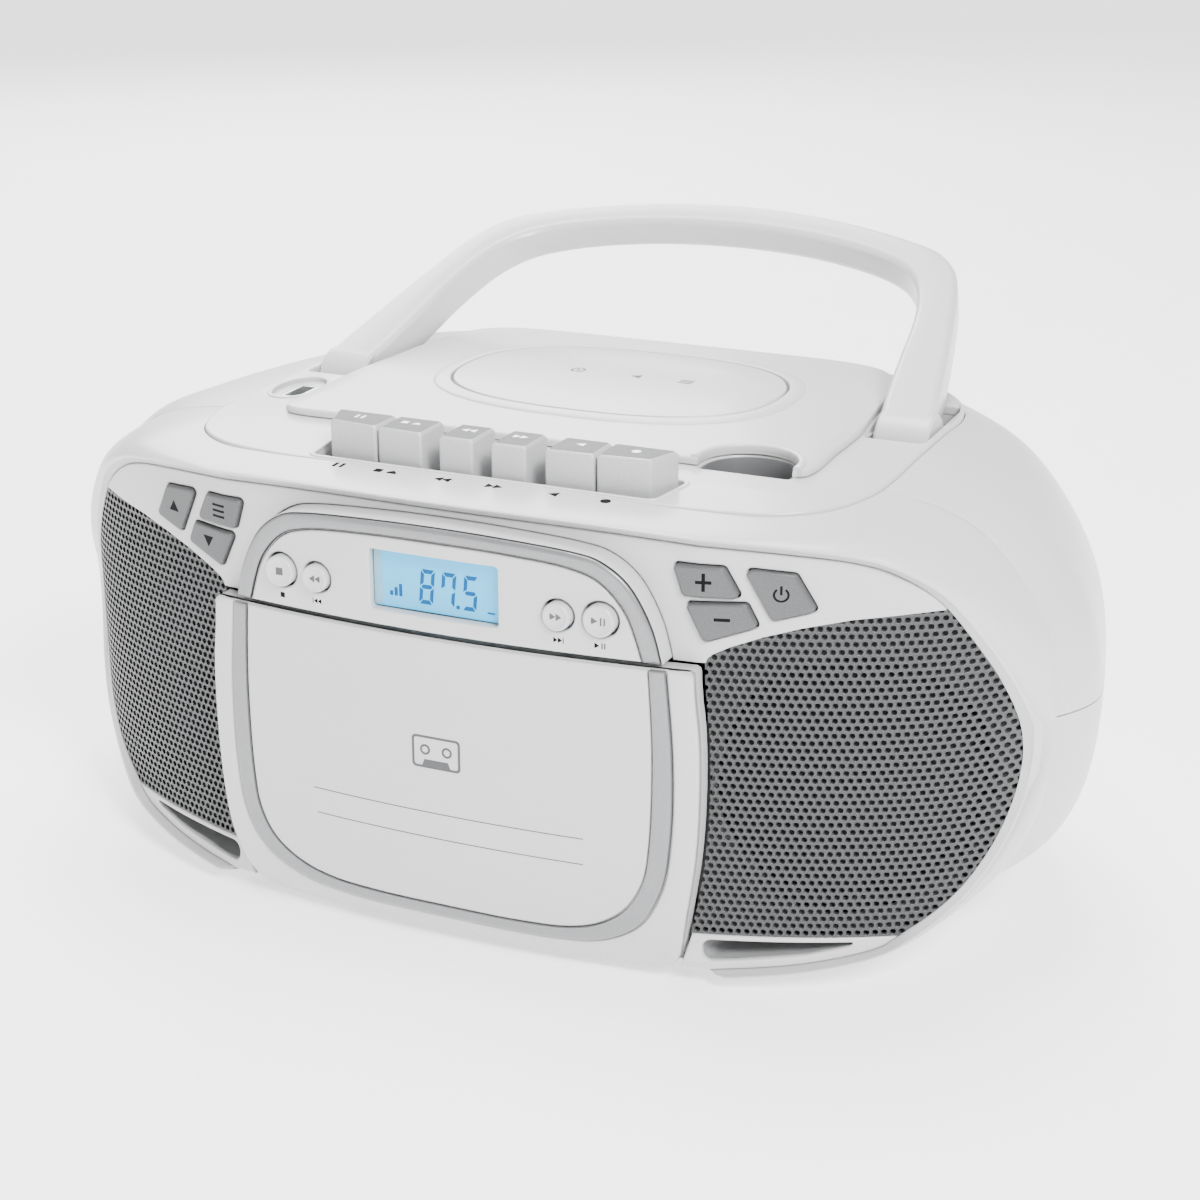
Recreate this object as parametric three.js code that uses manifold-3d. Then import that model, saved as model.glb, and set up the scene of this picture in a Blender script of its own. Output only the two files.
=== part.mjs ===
// Portable CD, cassette and radio player: assembly of separate pieces.
// Millimetres, +Z up, front faces -Y. Ground plane z = 0. Left and right are the viewer's.
import * as THREE from 'three';
import { mergeVertices } from 'three/addons/utils/BufferGeometryUtils.js';
import Module from 'manifold-3d';

const wasm = await Module();
wasm.setup();

// ---------- driving sizes ----------
const GAP = 0.3;                 // clearance between neighbouring pieces
const WALL = 2.6;                // cabinet wall thickness
const BODY_W = 350;              // cabinet overall width
const BODY_REAR_Y = 200;         // rear face behind the front datum
const BODY_TOP_Z = 143;          // top of the cabinet shells
const BODY_BASE_Z = 3.4;         // underside of the cabinet shells
const PART_Y = 65;               // parting plane between front and rear shells
const PART_SX = 0.955;           // width there, as a share of the widest section
const SEAM_Z = 79.7;             // seam between rear and lower shells
const DECK_TOP_Z = 142.8;        // top of the deck plate
const DECK_T = 3.2;              // deck plate thickness
const DECK_HALF_W = 112;         // deck half width
const DECK_FRONT_Y = 23;         // front edge of the deck
const DECK_REAR_Y = 192.5;       // rear edge of the deck
const WELL_R = 61.5;             // disc well radius (takes a 120 mm disc)
const WELL_Y = 126;              // disc well centre
const WELL_FLOOR_Z = 125;        // disc well floor
const LID_FRONT_Y = 62;          // front edge of the disc lid
const LID_REAR_Y = 190.5;        // rear edge of the disc lid
const LID_HALF_W = 89.5;         // disc lid half width
const LID_T = 2.2;               // disc lid edge thickness
const LID_CROWN = 2.8;           // height of the raised oval on the lid
const DOOR_T = 3.2;              // cassette door thickness
const DOOR_TOP_Z = 102;          // cassette door top edge
const DOOR_HALF_W = 80.3;        // cassette door half width
const DOOR_HINGE_Y = 9;
const DOOR_HINGE_Z = 8;
const TAPE_W = 102.6;            // cassette compartment, width (takes a 100.4 mm cassette)
const TAPE_H = 64;               // cassette compartment, height
const TAPE_D = 13;               // cassette compartment, depth (takes a 12 mm cassette)
const REEL_PITCH = 42.5;         // distance between the reel spindles
const HANDLE_PIVOT_Y = 129;
const HANDLE_PIVOT_Z = 137;
const HANDLE_TILT = 19;          // handle resting angle, degrees above level
const HANDLE_REACH = 122;        // pivot to outer edge of the grip bar
const HANDLE_N0 = -4;            // underside of the arms from the pivot plane
const HANDLE_N1 = 10.5;          // top face of the arms from the pivot plane
const HANDLE_BOSS_R = 10.5;
const PIN_R = 2.9;               // handle pivot pin radius
const KEY_TOP_Z = 152.8;         // top of the tape keys
const KEY_FRONT_Y = 28.5;        // front face of the middle keys
const KEY_REAR_Y = 44;           // rear face of the tape keys
const KEY_SHAFT_Y = 54;
const KEY_SHAFT_Z = 131;
const KEY_SHAFT_R = 2;
const KEY_GAP = 0.6;             // between neighbouring keys
const SPEAKER_R = 44;            // speaker frame radius
const SPEAKER_X = 116;
const SPEAKER_Z = 64;
const SPEAKER_TURN = 29;         // speakers face outwards by this angle, degrees
const FOOT_R = 8;
const FOOT_X = 68;
const BAT_HALF_W = 55;           // battery bay half width (two C cells end to end)
const BAT_D = 55;                // battery bay depth (two rows)
const BAT_Z0 = 16;
const BAT_H = 54;                // battery bay height (two layers)
const ANT_X = -60;               // aerial pivot
const ANT_Z = 128;
const ANT_LEN = 128;             // aerial folded length
const rad = Math.PI / 180;

// ---------- geometry helpers ----------
function finish(positions, triangles) {
  const geometry = new THREE.BufferGeometry();
  geometry.setAttribute('position', new THREE.Float32BufferAttribute(positions, 3));
  geometry.setIndex(triangles);
  let volume = 0;
  for (let i = 0; i < triangles.length; i += 3) {
    const [a, b, c] = [0, 1, 2].map((k) => {
      const j = triangles[i + k] * 3;
      return new THREE.Vector3(positions[j], positions[j + 1], positions[j + 2]);
    });
    volume += a.dot(b.cross(c));
  }
  if (volume < 0) {
    for (let i = 0; i < triangles.length; i += 3) {
      [triangles[i + 1], triangles[i + 2]] = [triangles[i + 2], triangles[i + 1]];
    }
    geometry.setIndex(triangles);
  }
  return geometry;
}

function capFaces(flat, base, triangles) {
  const area = THREE.ShapeUtils.area(flat);
  const order = flat.map((_, i) => i);
  if (area < 0) order.reverse();
  const faces = THREE.ShapeUtils.triangulateShape(order.map((i) => flat[i]), []);
  for (const f of faces) triangles.push(base + order[f[0]], base + order[f[1]], base + order[f[2]]);
  return area > 0;
}

// Solid through matching rings of points; drop = the axis left out to flatten the end caps.
function loft(rings, drop) {
  const n = rings[0].length;
  const positions = rings.flat(2);
  const triangles = [];
  for (let r = 0; r + 1 < rings.length; r += 1) {
    for (let i = 0; i < n; i += 1) {
      const j = (i + 1) % n;
      const [a, b, c, d] = [r * n + i, r * n + j, (r + 1) * n + j, (r + 1) * n + i];
      triangles.push(a, b, c, a, c, d);
    }
  }
  const keep = [0, 1, 2].filter((k) => k !== drop);
  const flat = (ring) => ring.map((p) => new THREE.Vector2(p[keep[0]], p[keep[1]]));
  const first = [];
  const sense = capFaces(flat(rings[0]), 0, first);
  const last = [];
  const sameSense = capFaces(flat(rings[rings.length - 1]), (rings.length - 1) * n, last);
  // side triangles run forwards on the first ring and backwards on the last one
  const flip = (list) => {
    for (let i = 0; i < list.length; i += 3) [list[i + 1], list[i + 2]] = [list[i + 2], list[i + 1]];
  };
  if (sense) flip(first);
  if (!sameSense) flip(last);
  return finish(positions, triangles.concat(first, last));
}

// Closed band: every station is a closed profile, and the stations close on themselves.
function band(stations) {
  const m = stations.length;
  const n = stations[0].length;
  const triangles = [];
  for (let s = 0; s < m; s += 1) {
    for (let i = 0; i < n; i += 1) {
      const [t, j] = [(s + 1) % m, (i + 1) % n];
      triangles.push(s * n + i, s * n + j, t * n + j, s * n + i, t * n + j, t * n + i);
    }
  }
  return finish(stations.flat(2), triangles);
}

// Straight solid over a polygon. axis 'x': (y, z) points, 'y': (x, z) points, 'z': (x, y) points.
function prism(points, axis, from, to) {
  const place = { x: (p, t) => [t, p[0], p[1]], y: (p, t) => [p[0], t, p[1]], z: (p, t) => [p[0], p[1], t] };
  const ring = (t) => points.map((p) => place[axis](p, t));
  return loft([ring(from), ring(to)], 'xyz'.indexOf(axis));
}

function box(x0, x1, y0, y1, z0, z1) {
  return prism([[x0, y0], [x1, y0], [x1, y1], [x0, y1]], 'z', z0, z1);
}

// Turned solid. Profile of [radius, height]; closes on the axis, or on itself when it misses it.
function turned(profile, axis, origin, segments = 24) {
  const positions = [];
  const triangles = [];
  const rows = profile.map(([r]) => {
    const start = positions.length / 3;
    const count = r < 1e-6 ? 1 : segments;
    for (let i = 0; i < count; i += 1) positions.push(0, 0, 0);
    return { start, count };
  });
  profile.forEach(([r, h], k) => {
    for (let i = 0; i < rows[k].count; i += 1) {
      const a = (i / segments) * 2 * Math.PI;
      const [u, v] = [r * Math.cos(a), r * Math.sin(a)];
      const p = { x: [h, u, v], y: [u, h, v], z: [u, v, h] }[axis];
      for (let c = 0; c < 3; c += 1) positions[(rows[k].start + i) * 3 + c] = p[c] + origin[c];
    }
  });
  const open = profile[0][0] < 1e-6;
  const spans = open ? profile.length - 1 : profile.length;
  for (let k = 0; k < spans; k += 1) {
    const [a, b] = [rows[k], rows[(k + 1) % profile.length]];
    for (let i = 0; i < segments; i += 1) {
      const j = (i + 1) % segments;
      const at = (row, q) => row.start + (row.count === 1 ? 0 : q);
      if (a.count > 1) triangles.push(at(a, i), at(a, j), at(b, i));
      if (b.count > 1) triangles.push(at(a, j), at(b, j), at(b, i));
    }
  }
  return finish(positions, triangles);
}

function rod(r, from, to, axis, origin, segments = 20) {
  return turned([[0, from], [r, from], [r, to], [0, to]], axis, origin, segments);
}

function solid(geometry) {
  const bare = geometry.clone();
  bare.deleteAttribute('normal');
  bare.deleteAttribute('uv');
  const merged = mergeVertices(bare, 1e-4);
  return new wasm.Manifold(new wasm.Mesh({
    numProp: 3,
    vertProperties: new Float32Array(merged.attributes.position.array),
    triVerts: new Uint32Array(merged.index.array),
  }));
}

function shape(body) {
  const mesh = body.getMesh();
  const geometry = new THREE.BufferGeometry();
  geometry.setAttribute('position', new THREE.Float32BufferAttribute(Array.from(mesh.vertProperties), 3));
  geometry.setIndex(Array.from(mesh.triVerts));
  return geometry;
}

const join = (first, ...rest) => shape(rest.reduce((body, g) => body.add(solid(g)), solid(first)));
const cut = (first, ...rest) => shape(rest.reduce((body, g) => body.subtract(solid(g)), solid(first)));
const meet = (first, ...rest) => shape(rest.reduce((body, g) => body.intersect(solid(g)), solid(first)));

const mirrored = (half) => half.concat(half.filter((p) => p[0] > 1e-6).reverse().map((p) => [-p[0], p[1]]));
const flipX = (points) => points.map((p) => [-p[0], p[1]]).reverse();

// Even sampling of a smooth closed outline given by its right half, from the top centre.
function smoothOutline(half, count) {
  const points = mirrored(half).map((p) => new THREE.Vector3(p[0], 0, p[1]));
  const curve = new THREE.CatmullRomCurve3(points, true, 'centripetal');
  curve.arcLengthDivisions = 800;
  return curve.getSpacedPoints(count).slice(0, count).map((p) => [p.x, p.z]);
}

// Moves every side of a polygon inwards by d (outwards when negative).
function inset(points, d) {
  const n = points.length;
  let area = 0;
  points.forEach((p, i) => {
    const q = points[(i + 1) % n];
    area += p[0] * q[1] - q[0] * p[1];
  });
  const side = area > 0 ? 1 : -1;
  return points.map((p, i) => {
    const a = points[(i + n - 1) % n];
    const b = points[(i + 1) % n];
    const unit = (s, t) => {
      const l = Math.hypot(t[0] - s[0], t[1] - s[1]) || 1;
      return [(t[0] - s[0]) / l, (t[1] - s[1]) / l];
    };
    const [u, v] = [unit(a, p), unit(p, b)];
    const normal = [-(u[1] + v[1]), u[0] + v[0]];
    const dot = 1 + u[0] * v[0] + u[1] * v[1];
    const k = (side * d) / Math.max(dot, 0.35);
    return [p[0] + normal[0] * k, p[1] + normal[1] * k];
  });
}

// ---------- front surfaces: y as a function of x ----------
const WING_REACH = 163;
const WING_DEPTH = 70;
const CENTRE_HALF = 77;
const wing = (x) => {
  const t = Math.min(Math.abs(x) / WING_REACH, 0.9995);
  return -3.4 + WING_DEPTH * (1 - (1 - t ** 1.75) ** (1 / 1.75));
};
// speaker wings, running flat across the middle behind the door and display
const panelY = (x) => {
  const t = Math.abs(x) / CENTRE_HALF;
  return t < 1 ? 4.2 + (wing(CENTRE_HALF) - 4.2) * t * t : wing(x);
};
// door and display face
const faceY = (x) => -4.3 + (x * x) / 1024;
// the door face sweeps back towards the ground
const sweep = (z) => (z < 32 ? 11 * ((32 - z) / 32) ** 2 : 0);

// Vertical slab between two offsets of a front surface.
function slab(surface, from, to, half, z0, z1, count = 30) {
  const xs = Array.from({ length: count + 1 }, (_, i) => -half + (2 * half * i) / count);
  const front = xs.map((x) => [x, surface(x) + from]);
  const back = xs.map((x) => [x, surface(x) + to]).reverse();
  return prism(front.concat(back), 'z', z0, z1);
}

// Same, following the sweep of the door towards its lower edge.
function doorSlab(from, to, half) {
  const xs = Array.from({ length: 17 }, (_, i) => -half + (half * i) / 8);
  const rings = [-2, 3, 8, 14, 20, 26, 32, 110].map((z) => {
    const front = xs.map((x) => [x, faceY(x) + sweep(z) + from, z]);
    const back = xs.map((x) => [x, faceY(x) + sweep(z) + to, z]).reverse();
    return front.concat(back);
  });
  return loft(rings, 2);
}

const group = new THREE.Group();
group.name = 'cassette_player';
const finishes = {
  white: [0xe9eae8, 0.4, 0],
  softgrey: [0xcfd1d2, 0.42, 0],
  silver: [0xb9bcc0, 0.32, 0.7],
  mesh: [0x8d9094, 0.4, 0.85],
  dark: [0x2c2e31, 0.5, 0],
  steel: [0xa9adb1, 0.3, 0.9],
  lcd: [0xa0d7ee, 0.12, 0],
  rubber: [0x1d1e20, 0.85, 0],
  paper: [0x26272a, 0.8, 0],
  board: [0x1f6a45, 0.5, 0],
  brass: [0xb58f45, 0.35, 0.85],
};
function add(name, geometry, finish) {
  const [colour, roughness, metalness] = finishes[finish];
  const mesh = new THREE.Mesh(geometry, new THREE.MeshStandardMaterial({ color: colour, roughness, metalness }));
  mesh.name = name;
  group.add(mesh);
}

// ---------- cabinet ----------
const HALF = BODY_W / 2;
const bodyHalf = [
  [0, BODY_TOP_Z], [60, BODY_TOP_Z], [HALF - 64, BODY_TOP_Z - 1], [HALF - 52, BODY_TOP_Z - 1.9],
  [HALF - 39, BODY_TOP_Z - 4.4], [HALF - 27, BODY_TOP_Z - 9.5], [HALF - 18, BODY_TOP_Z - 17],
  [HALF - 10, BODY_TOP_Z - 27], [HALF - 4.6, BODY_TOP_Z - 37], [HALF - 1.4, BODY_TOP_Z - 48], [HALF, 79],
  [HALF - 0.6, 62], [HALF - 4, 46], [HALF - 11, 32], [HALF - 23, 20.5], [HALF - 39, 12], [HALF - 60, 6.6],
  [HALF - 85, 3.7], [HALF - 105, BODY_BASE_Z], [35, BODY_BASE_Z], [0, BODY_BASE_Z],
];
const lipHalf = [
  [0, 141.6], [60, 141], [100, 138.6], [119, 135.9], [128.6, 132.4], [140, 124], [151, 107.5], [158, 93],
  [162.2, 78], [162.4, 62.5], [158.4, 45.4], [151.5, 31.6], [144, 22.6], [132, 13.8], [112, 8], [90, 5],
  [74, BODY_BASE_Z + 0.4], [36, BODY_BASE_Z + 0.3], [0, BODY_BASE_Z + 0.3],
];
const STATIONS = 60;
const bodyRing = smoothOutline(bodyHalf, STATIONS);
const lipRing = smoothOutline(lipHalf, STATIONS);
const lipInner = inset(lipRing, 3).map((p, i) => (lipRing[i][1] < 14 ? [p[0], p[1] - 1.8] : p));
const ease = (t) => Math.min(Math.max(t, 0), 1) ** 2 * (3 - 2 * Math.min(Math.max(t, 0), 1));
const lipY = (x, z) => {
  const under = z < 30 ? 1 - ease((Math.abs(x) - 76) / 12) : 0;
  return (panelY(x) - 3 + 2.6 * ease((Math.abs(x) - 128) / 24)) * (1 - under) + 16 * under;
};
const deckHalf = [
  [0, DECK_FRONT_Y], [70, DECK_FRONT_Y + 0.6], [90, DECK_FRONT_Y + 5], [103, DECK_FRONT_Y + 16],
  [110, DECK_FRONT_Y + 32], [DECK_HALF_W, DECK_FRONT_Y + 46], [DECK_HALF_W, 148], [108, 163],
  [98, 177], [84, 187], [66, DECK_REAR_Y - 0.6], [0, DECK_REAR_Y],
];
const deckOutline = mirrored(deckHalf);
const deckHole = prism(inset(deckOutline, -GAP), 'z', BODY_TOP_Z - 14, BODY_TOP_Z + 20);

const frontStations = bodyRing.map((p, i) => {
  const a = [p[0] * PART_SX, p[1]];
  const b = lipRing[i];
  const c = lipInner[i];
  const by = lipY(b[0], b[1]);
  const cy = Math.max(by + 1.2, panelY(c[0]) + 0.8);
  const at = (ax, az, ay, bx, bz, byy, t) => {
    const s = Math.sin((t * Math.PI) / 2);
    const k = 1 - Math.cos((t * Math.PI) / 2);
    return [bx + (ax - bx) * s, byy + (ay - byy) * k, bz + (az - bz) * s];
  };
  const ai = [a[0] * (1 - WALL / HALF), 73 + (a[1] - 73) * (1 - WALL / 68)];
  const bi = [c[0], c[1]];
  const biy = Math.min(cy + 3.2, PART_Y - 0.4);
  const outer = [0.25, 0.5, 0.75].map((t) => at(a[0], a[1], PART_Y, b[0], b[1], by, t)).reverse();
  const inner = [0.3, 0.65].map((t) => at(ai[0], ai[1], PART_Y, bi[0], bi[1], biy, t));
  return [
    [a[0], PART_Y, a[1]], ...outer, [b[0], by, b[1]], [c[0], cy, c[1]], [bi[0], biy, bi[1]],
    ...inner, [ai[0], PART_Y, ai[1]],
  ];
});
add('front_cabinet', cut(band(frontStations), deckHole), 'white');

const rearStations = [
  [PART_Y + GAP, PART_SX, 1], [74, 0.984, 1], [84, 1, 1], [97, 0.992, 1], [120, 0.966, 1], [142, 0.925, 1], [160, 0.87, 1],
  [176, 0.78, 0.995], [188, 0.68, 0.985], [196, 0.6, 0.96], [BODY_REAR_Y, 0.55, 0.93],
];
const ringAt = (y, sx, sz) => bodyRing.map((p) => [p[0] * sx, y, 73 + (p[1] - 73) * sz]);
const rearOuter = loft(rearStations.map(([y, sx, sz]) => ringAt(y, sx, sz)), 1);
const shrinkX = 1 - WALL / HALF;
const shrinkZ = 1 - WALL / 68;
const rearInner = loft([
  ...rearStations.slice(0, -2).map(([y, sx, sz], i) => ringAt(i ? y : y - 2, sx * shrinkX, sz * shrinkZ)),
  ringAt(BODY_REAR_Y - WALL, 0.565, 0.9),
], 1);
const rearShell = cut(rearOuter, rearInner);
const [BAY_Y0, BAY_Y1] = [BODY_REAR_Y - 10, BODY_REAR_Y + 10];
const batHole = box(-BAT_HALF_W - 1.5, BAT_HALF_W + 1.5, BAY_Y0, BAY_Y1, BAT_Z0 - 1, BAT_Z0 + BAT_H + 1);
const inletHole = box(65, 87, BAY_Y0, BAY_Y1, 28, 42);
add('rear_cabinet', cut(rearShell, deckHole, box(-200, 200, 0, 250, -10, SEAM_Z + GAP / 2)), 'white');
add('lower_cabinet', cut(rearShell, batHole, inletHole, box(-200, 200, 0, 250, SEAM_Z - GAP / 2, 200)), 'white');

// ---------- front panel, grilles and speakers ----------
const grilleHalf = [
  [81.2, 104.8], [85.6, 107], [94.5, 110.4], [104.7, 113.2], [117.2, 115.6], [129, 116.4], [138, 115.2],
  [145, 107.3], [150.4, 95], [154.6, 83.5], [157, 71.3], [156.6, 58.4], [153.6, 46.4], [149, 36.3],
  [143.4, 29], [138, 23.2], [132.4, 18.4], [127, 17], [81.2, 17],
];
const portHalf = [[81.6, 15], [117, 15.6], [119.5, 14.4], [107.5, 11.6], [91, 9.6], [81.6, 9]];
const doorHalf = [
  [0, DOOR_TOP_Z], [70, DOOR_TOP_Z], [DOOR_HALF_W - 2.6, DOOR_TOP_Z], [DOOR_HALF_W - 0.4, 82],
  [DOOR_HALF_W, 62], [DOOR_HALF_W - 1.2, 40], [DOOR_HALF_W - 5, 17], [DOOR_HALF_W - 8, 7],
  [DOOR_HALF_W - 12, 2.9], [60, 2.2], [0, 2.2],
];
const doorOutline = mirrored(doorHalf);
const archOuter = [[69.6, 103.6], [66.4, 115], [59.4, 127], [51, 132.8], [43.5, 134.4], [22, 135.9], [0, 136.4]];
const archInner = [[63.8, 103.6], [58.8, 117.6], [51, 126.2], [42.4, 129.2], [22, 131], [0, 131.4]];
const mirrorArc = (half) => half.concat(half.slice(0, -1).reverse().map((p) => [-p[0], p[1]]));
const archHole = prism(inset([[72, 95], ...mirrorArc(archOuter), [-72, 95]], -GAP), 'y', -30, 60);
const quads = {
  program_button: [[-69.8, 132], [-84, 131.7], [-88.8, 122.7], [-72.8, 122.7]],
  folder_up_button: [[-89.2, 131.5], [-102.8, 130.2], [-108.6, 119.5], [-97, 116.4]],
  folder_down_button: [[-73.4, 120.8], [-90.2, 121.2], [-93.4, 114.4], [-79, 109.4]],
  volume_up_button: [[69.8, 132], [84, 131.7], [88.8, 122.7], [72.8, 122.7]],
  function_button: [[73.4, 120.8], [90.2, 121.2], [93.4, 114.4], [79, 109.4]],
  volume_down_button: [[89.2, 131.5], [102.8, 130.2], [108.6, 119.5], [97, 116.4]],
};
const baffleBlank = meet(
  prism(inset(lipInner, GAP), 'y', -20, 70),
  slab(panelY, 0.8, 3.6, 162.4, -5, 150, 48),
);
add('front_baffle', cut(
  baffleBlank,
  prism(inset(doorOutline.map((p) => [p[0], p[1] < 10 ? -12 : p[1] + 2]), -0.9), 'y', -30, 60),
  archHole,
  ...[grilleHalf, flipX(grilleHalf)].map((g) => prism(inset(g, -GAP), 'y', -30, 90)),
  ...[portHalf, flipX(portHalf)].map((g) => prism(g, 'y', -30, 90)),
  ...Object.values(quads).map((q) => prism(inset(q, -GAP), 'y', -30, 90)),
), 'white');

for (const [side, sign] of [['left', -1], ['right', 1]]) {
  const outline = sign > 0 ? grilleHalf : flipX(grilleHalf);
  add(`${side}_grille`, meet(prism(outline, 'y', -30, 90), slab(panelY, 0, 1.3, 162, 0, 150, 48)), 'mesh');
  const place = (geometry) => {
    geometry.rotateZ(sign * SPEAKER_TURN * rad);
    geometry.translate(sign * SPEAKER_X, panelY(SPEAKER_X) + 14, SPEAKER_Z);
    return geometry;
  };
  const r = SPEAKER_R;
  add(`${side}_speaker_basket`, place(turned([
    [0, 36], [22, 36], [22, 20], [r - 14, 18], [r - 3, 4], [r, 3], [r, 0], [r - 4, 0], [r - 4, 3.2],
    [r - 15, 15], [12, 16], [0, 16],
  ], 'y', [0, 0, 0], 32)), 'steel');
  add(`${side}_speaker_cone`, place(turned([
    [0, 5.5], [6, 6.6], [9, 9], [r - 8.5, 0.4], [r - 6.5, -0.8], [r - 4.8, 0.2], [r - 4.8, 1], [r - 8, 1.8],
    [10, 10.4], [0, 10.4],
  ], 'y', [0, 0, 0], 32)), 'paper');
}

// ---------- display and front buttons ----------
const panelOutline = inset([...mirrorArc(archInner)], GAP);
const LCD = [20.8, 108.7, 127];
const roundButtons = {
  stop_button: [-51.7, 115.2, 4.8],
  skip_back_button: [-39.1, 115, 4.2],
  skip_forward_button: [39.1, 115, 4.2],
  play_pause_button: [51.7, 115.2, 4.8],
};
add('display_panel', cut(
  meet(prism(panelOutline, 'y', -20, 20), slab(faceY, 0, 3.4, 70, 90, 140, 16)),
  box(-LCD[0], LCD[0], -20, 20, LCD[1], LCD[2]),
  ...Object.values(roundButtons).map(([x, z, r]) => rod(r + GAP, -20, 20, 'y', [x, 0, z], 24)),
), 'white');
add('display_trim', meet(
  prism([...mirrorArc(archOuter), ...mirrorArc(archInner).reverse()], 'y', -20, 20),
  slab(faceY, -0.7, 5.5, 74, 90, 140, 18),
), 'silver');
add('lcd_window', box(-LCD[0] + GAP, LCD[0] - GAP, -1.5, 1.6, LCD[1] + GAP, LCD[2] - GAP), 'lcd');
for (const [name, [x, z, r]] of Object.entries(roundButtons)) {
  const y = faceY(x);
  add(name, turned([
    [0, y - 1.9], [r - 1, y - 1.8], [r, y - 1], [r, y + 3.8], [2, y + 3.8], [2, y + 8], [0, y + 8],
  ], 'y', [x, 0, z], 20), 'white');
}
for (const [name, quad] of Object.entries(quads)) {
  const cx = (quad[0][0] + quad[2][0]) / 2;
  const cz = (quad[0][1] + quad[2][1]) / 2;
  add(name, join(
    meet(prism(quad, 'y', -30, 40), slab(panelY, -1.2, 5, 120, 90, 140, 40)),
    rod(2, panelY(cx) + 3, panelY(cx) + 9, 'y', [cx, 0, cz], 10),
  ), 'silver');
}

// ---------- cassette door ----------
const ringOuter = [
  [70.6, DOOR_TOP_Z + 2], [72.8, 75], [72.6, 50], [70, 33], [62.8, 20], [51, 12.4], [36, 9.8], [0, 9.6],
];
const ringInner = [
  [65.6, DOOR_TOP_Z + 2], [67, 76], [66.2, 46], [64.4, 35], [58.8, 25.2], [50, 18.6], [40, 15.4], [26, 14.4],
  [0, 14.4],
];
add('cassette_door', cut(
  meet(prism(doorOutline, 'y', -30, 40), doorSlab(0, DOOR_T, 84)),
  meet(prism(mirrorArc(ringOuter), 'y', -30, 40), doorSlab(-5, 1.5, 84)),
), 'white');
const topTrim = box(-90, 90, -30, 40, DOOR_TOP_Z - GAP, 120);
add('door_trim', cut(
  meet(prism(inset(mirrorArc(ringOuter), GAP), 'y', -30, 40), doorSlab(-0.6, 1.5 - GAP, 84)),
  prism(mirrorArc(ringInner), 'y', -30, 40),
  topTrim,
), 'silver');
add('door_face', cut(
  meet(prism(inset(mirrorArc(ringInner), GAP), 'y', -30, 40), doorSlab(-0.1, 1.5 - GAP, 84)),
  topTrim,
), 'white');

// ---------- cassette compartment and drive ----------
const HOLD_Y0 = faceY(0) + DOOR_T + 4.2;
const HOLD_Y1 = HOLD_Y0 + TAPE_D;
const HOLD_Z0 = 24;
const HX = TAPE_W / 2;
add('cassette_holder', cut(
  box(-HX - 2, HX + 2, HOLD_Y0, HOLD_Y1 + 2, HOLD_Z0 - 2, HOLD_Z0 + 56),
  box(-HX, HX, HOLD_Y0 - 5, HOLD_Y1, HOLD_Z0, HOLD_Z0 + 80),
  box(-HX + 7, HX - 7, HOLD_Y0, HOLD_Y1 + 9, HOLD_Z0 + 8, HOLD_Z0 + 80),
), 'dark');
const CHASSIS_Y = HOLD_Y1 + 8;
const REEL_Z = HOLD_Z0 + TAPE_H / 2 + 3;
const CAPSTAN = [33, 84];
const chassisPlate = box(-64, 64, CHASSIS_Y, CHASSIS_Y + 2.4, 12, 101);
add('tape_chassis', cut(
  join(
    chassisPlate,
    box(-60, 60, CHASSIS_Y, CHASSIS_Y + 22, 9.6, 12.2),
    ...[-1, 1].map((s) => box(s * 59.5 - 3.5, s * 59.5 + 3.5, CHASSIS_Y, CHASSIS_Y + 2.4, 98, 109)),
    ...[-1, 1].map((s) => rod(2.2, faceY(59) + 3.4 + GAP, CHASSIS_Y + 1, 'y', [s * 59.5, 0, 106.4], 12)),
  ),
  ...[-1, 1].map((s) => rod(4.2, 0, 60, 'y', [(s * REEL_PITCH) / 2, 0, REEL_Z], 16)),
  rod(2.4, 0, 60, 'y', [CAPSTAN[0], 0, CAPSTAN[1]], 12),
  box(-14, 14, 0, 60, 90.5, 98),
), 'steel');
const reel = (x) => join(
  turned([
    [0, HOLD_Y0 + 2], [1.6, HOLD_Y0 + 2], [3.6, HOLD_Y0 + 5], [3.6, CHASSIS_Y - 4], [7, CHASSIS_Y - 3.4],
    [7, CHASSIS_Y - 0.6], [3.4, CHASSIS_Y - 0.6], [3.4, CHASSIS_Y + 3], [11, CHASSIS_Y + 3],
    [11, CHASSIS_Y + 5.6], [0, CHASSIS_Y + 5.6],
  ], 'y', [x, 0, REEL_Z], 20),
  ...[0, 1, 2].map((k) => {
    const fin = box(-0.6, 0.6, HOLD_Y0 + 5, CHASSIS_Y - 4, 0, 4.9);
    fin.rotateY(k * 120 * rad);
    fin.translate(x, 0, REEL_Z);
    return fin;
  }),
);
add('supply_spindle', reel(-REEL_PITCH / 2), 'dark');
add('takeup_spindle', reel(REEL_PITCH / 2), 'dark');
add('capstan_flywheel', turned([
  [0, HOLD_Y0 + 1], [1.2, HOLD_Y0 + 1], [1.2, CHASSIS_Y + 7], [24, CHASSIS_Y + 7], [24, CHASSIS_Y + 13],
  [5, CHASSIS_Y + 13], [5, CHASSIS_Y + 16], [0, CHASSIS_Y + 16],
], 'y', [CAPSTAN[0], 0, CAPSTAN[1]], 32), 'steel');
add('pinch_roller', cut(
  rod(5, HOLD_Y0 + 3, HOLD_Y1 - 1, 'y', [CAPSTAN[0], 0, CAPSTAN[1] + 9.4], 20),
  rod(1.5, 0, 60, 'y', [CAPSTAN[0], 0, CAPSTAN[1] + 9.4], 12),
), 'rubber');
const HEAD_Z = HOLD_Z0 + TAPE_H + 3;
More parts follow.
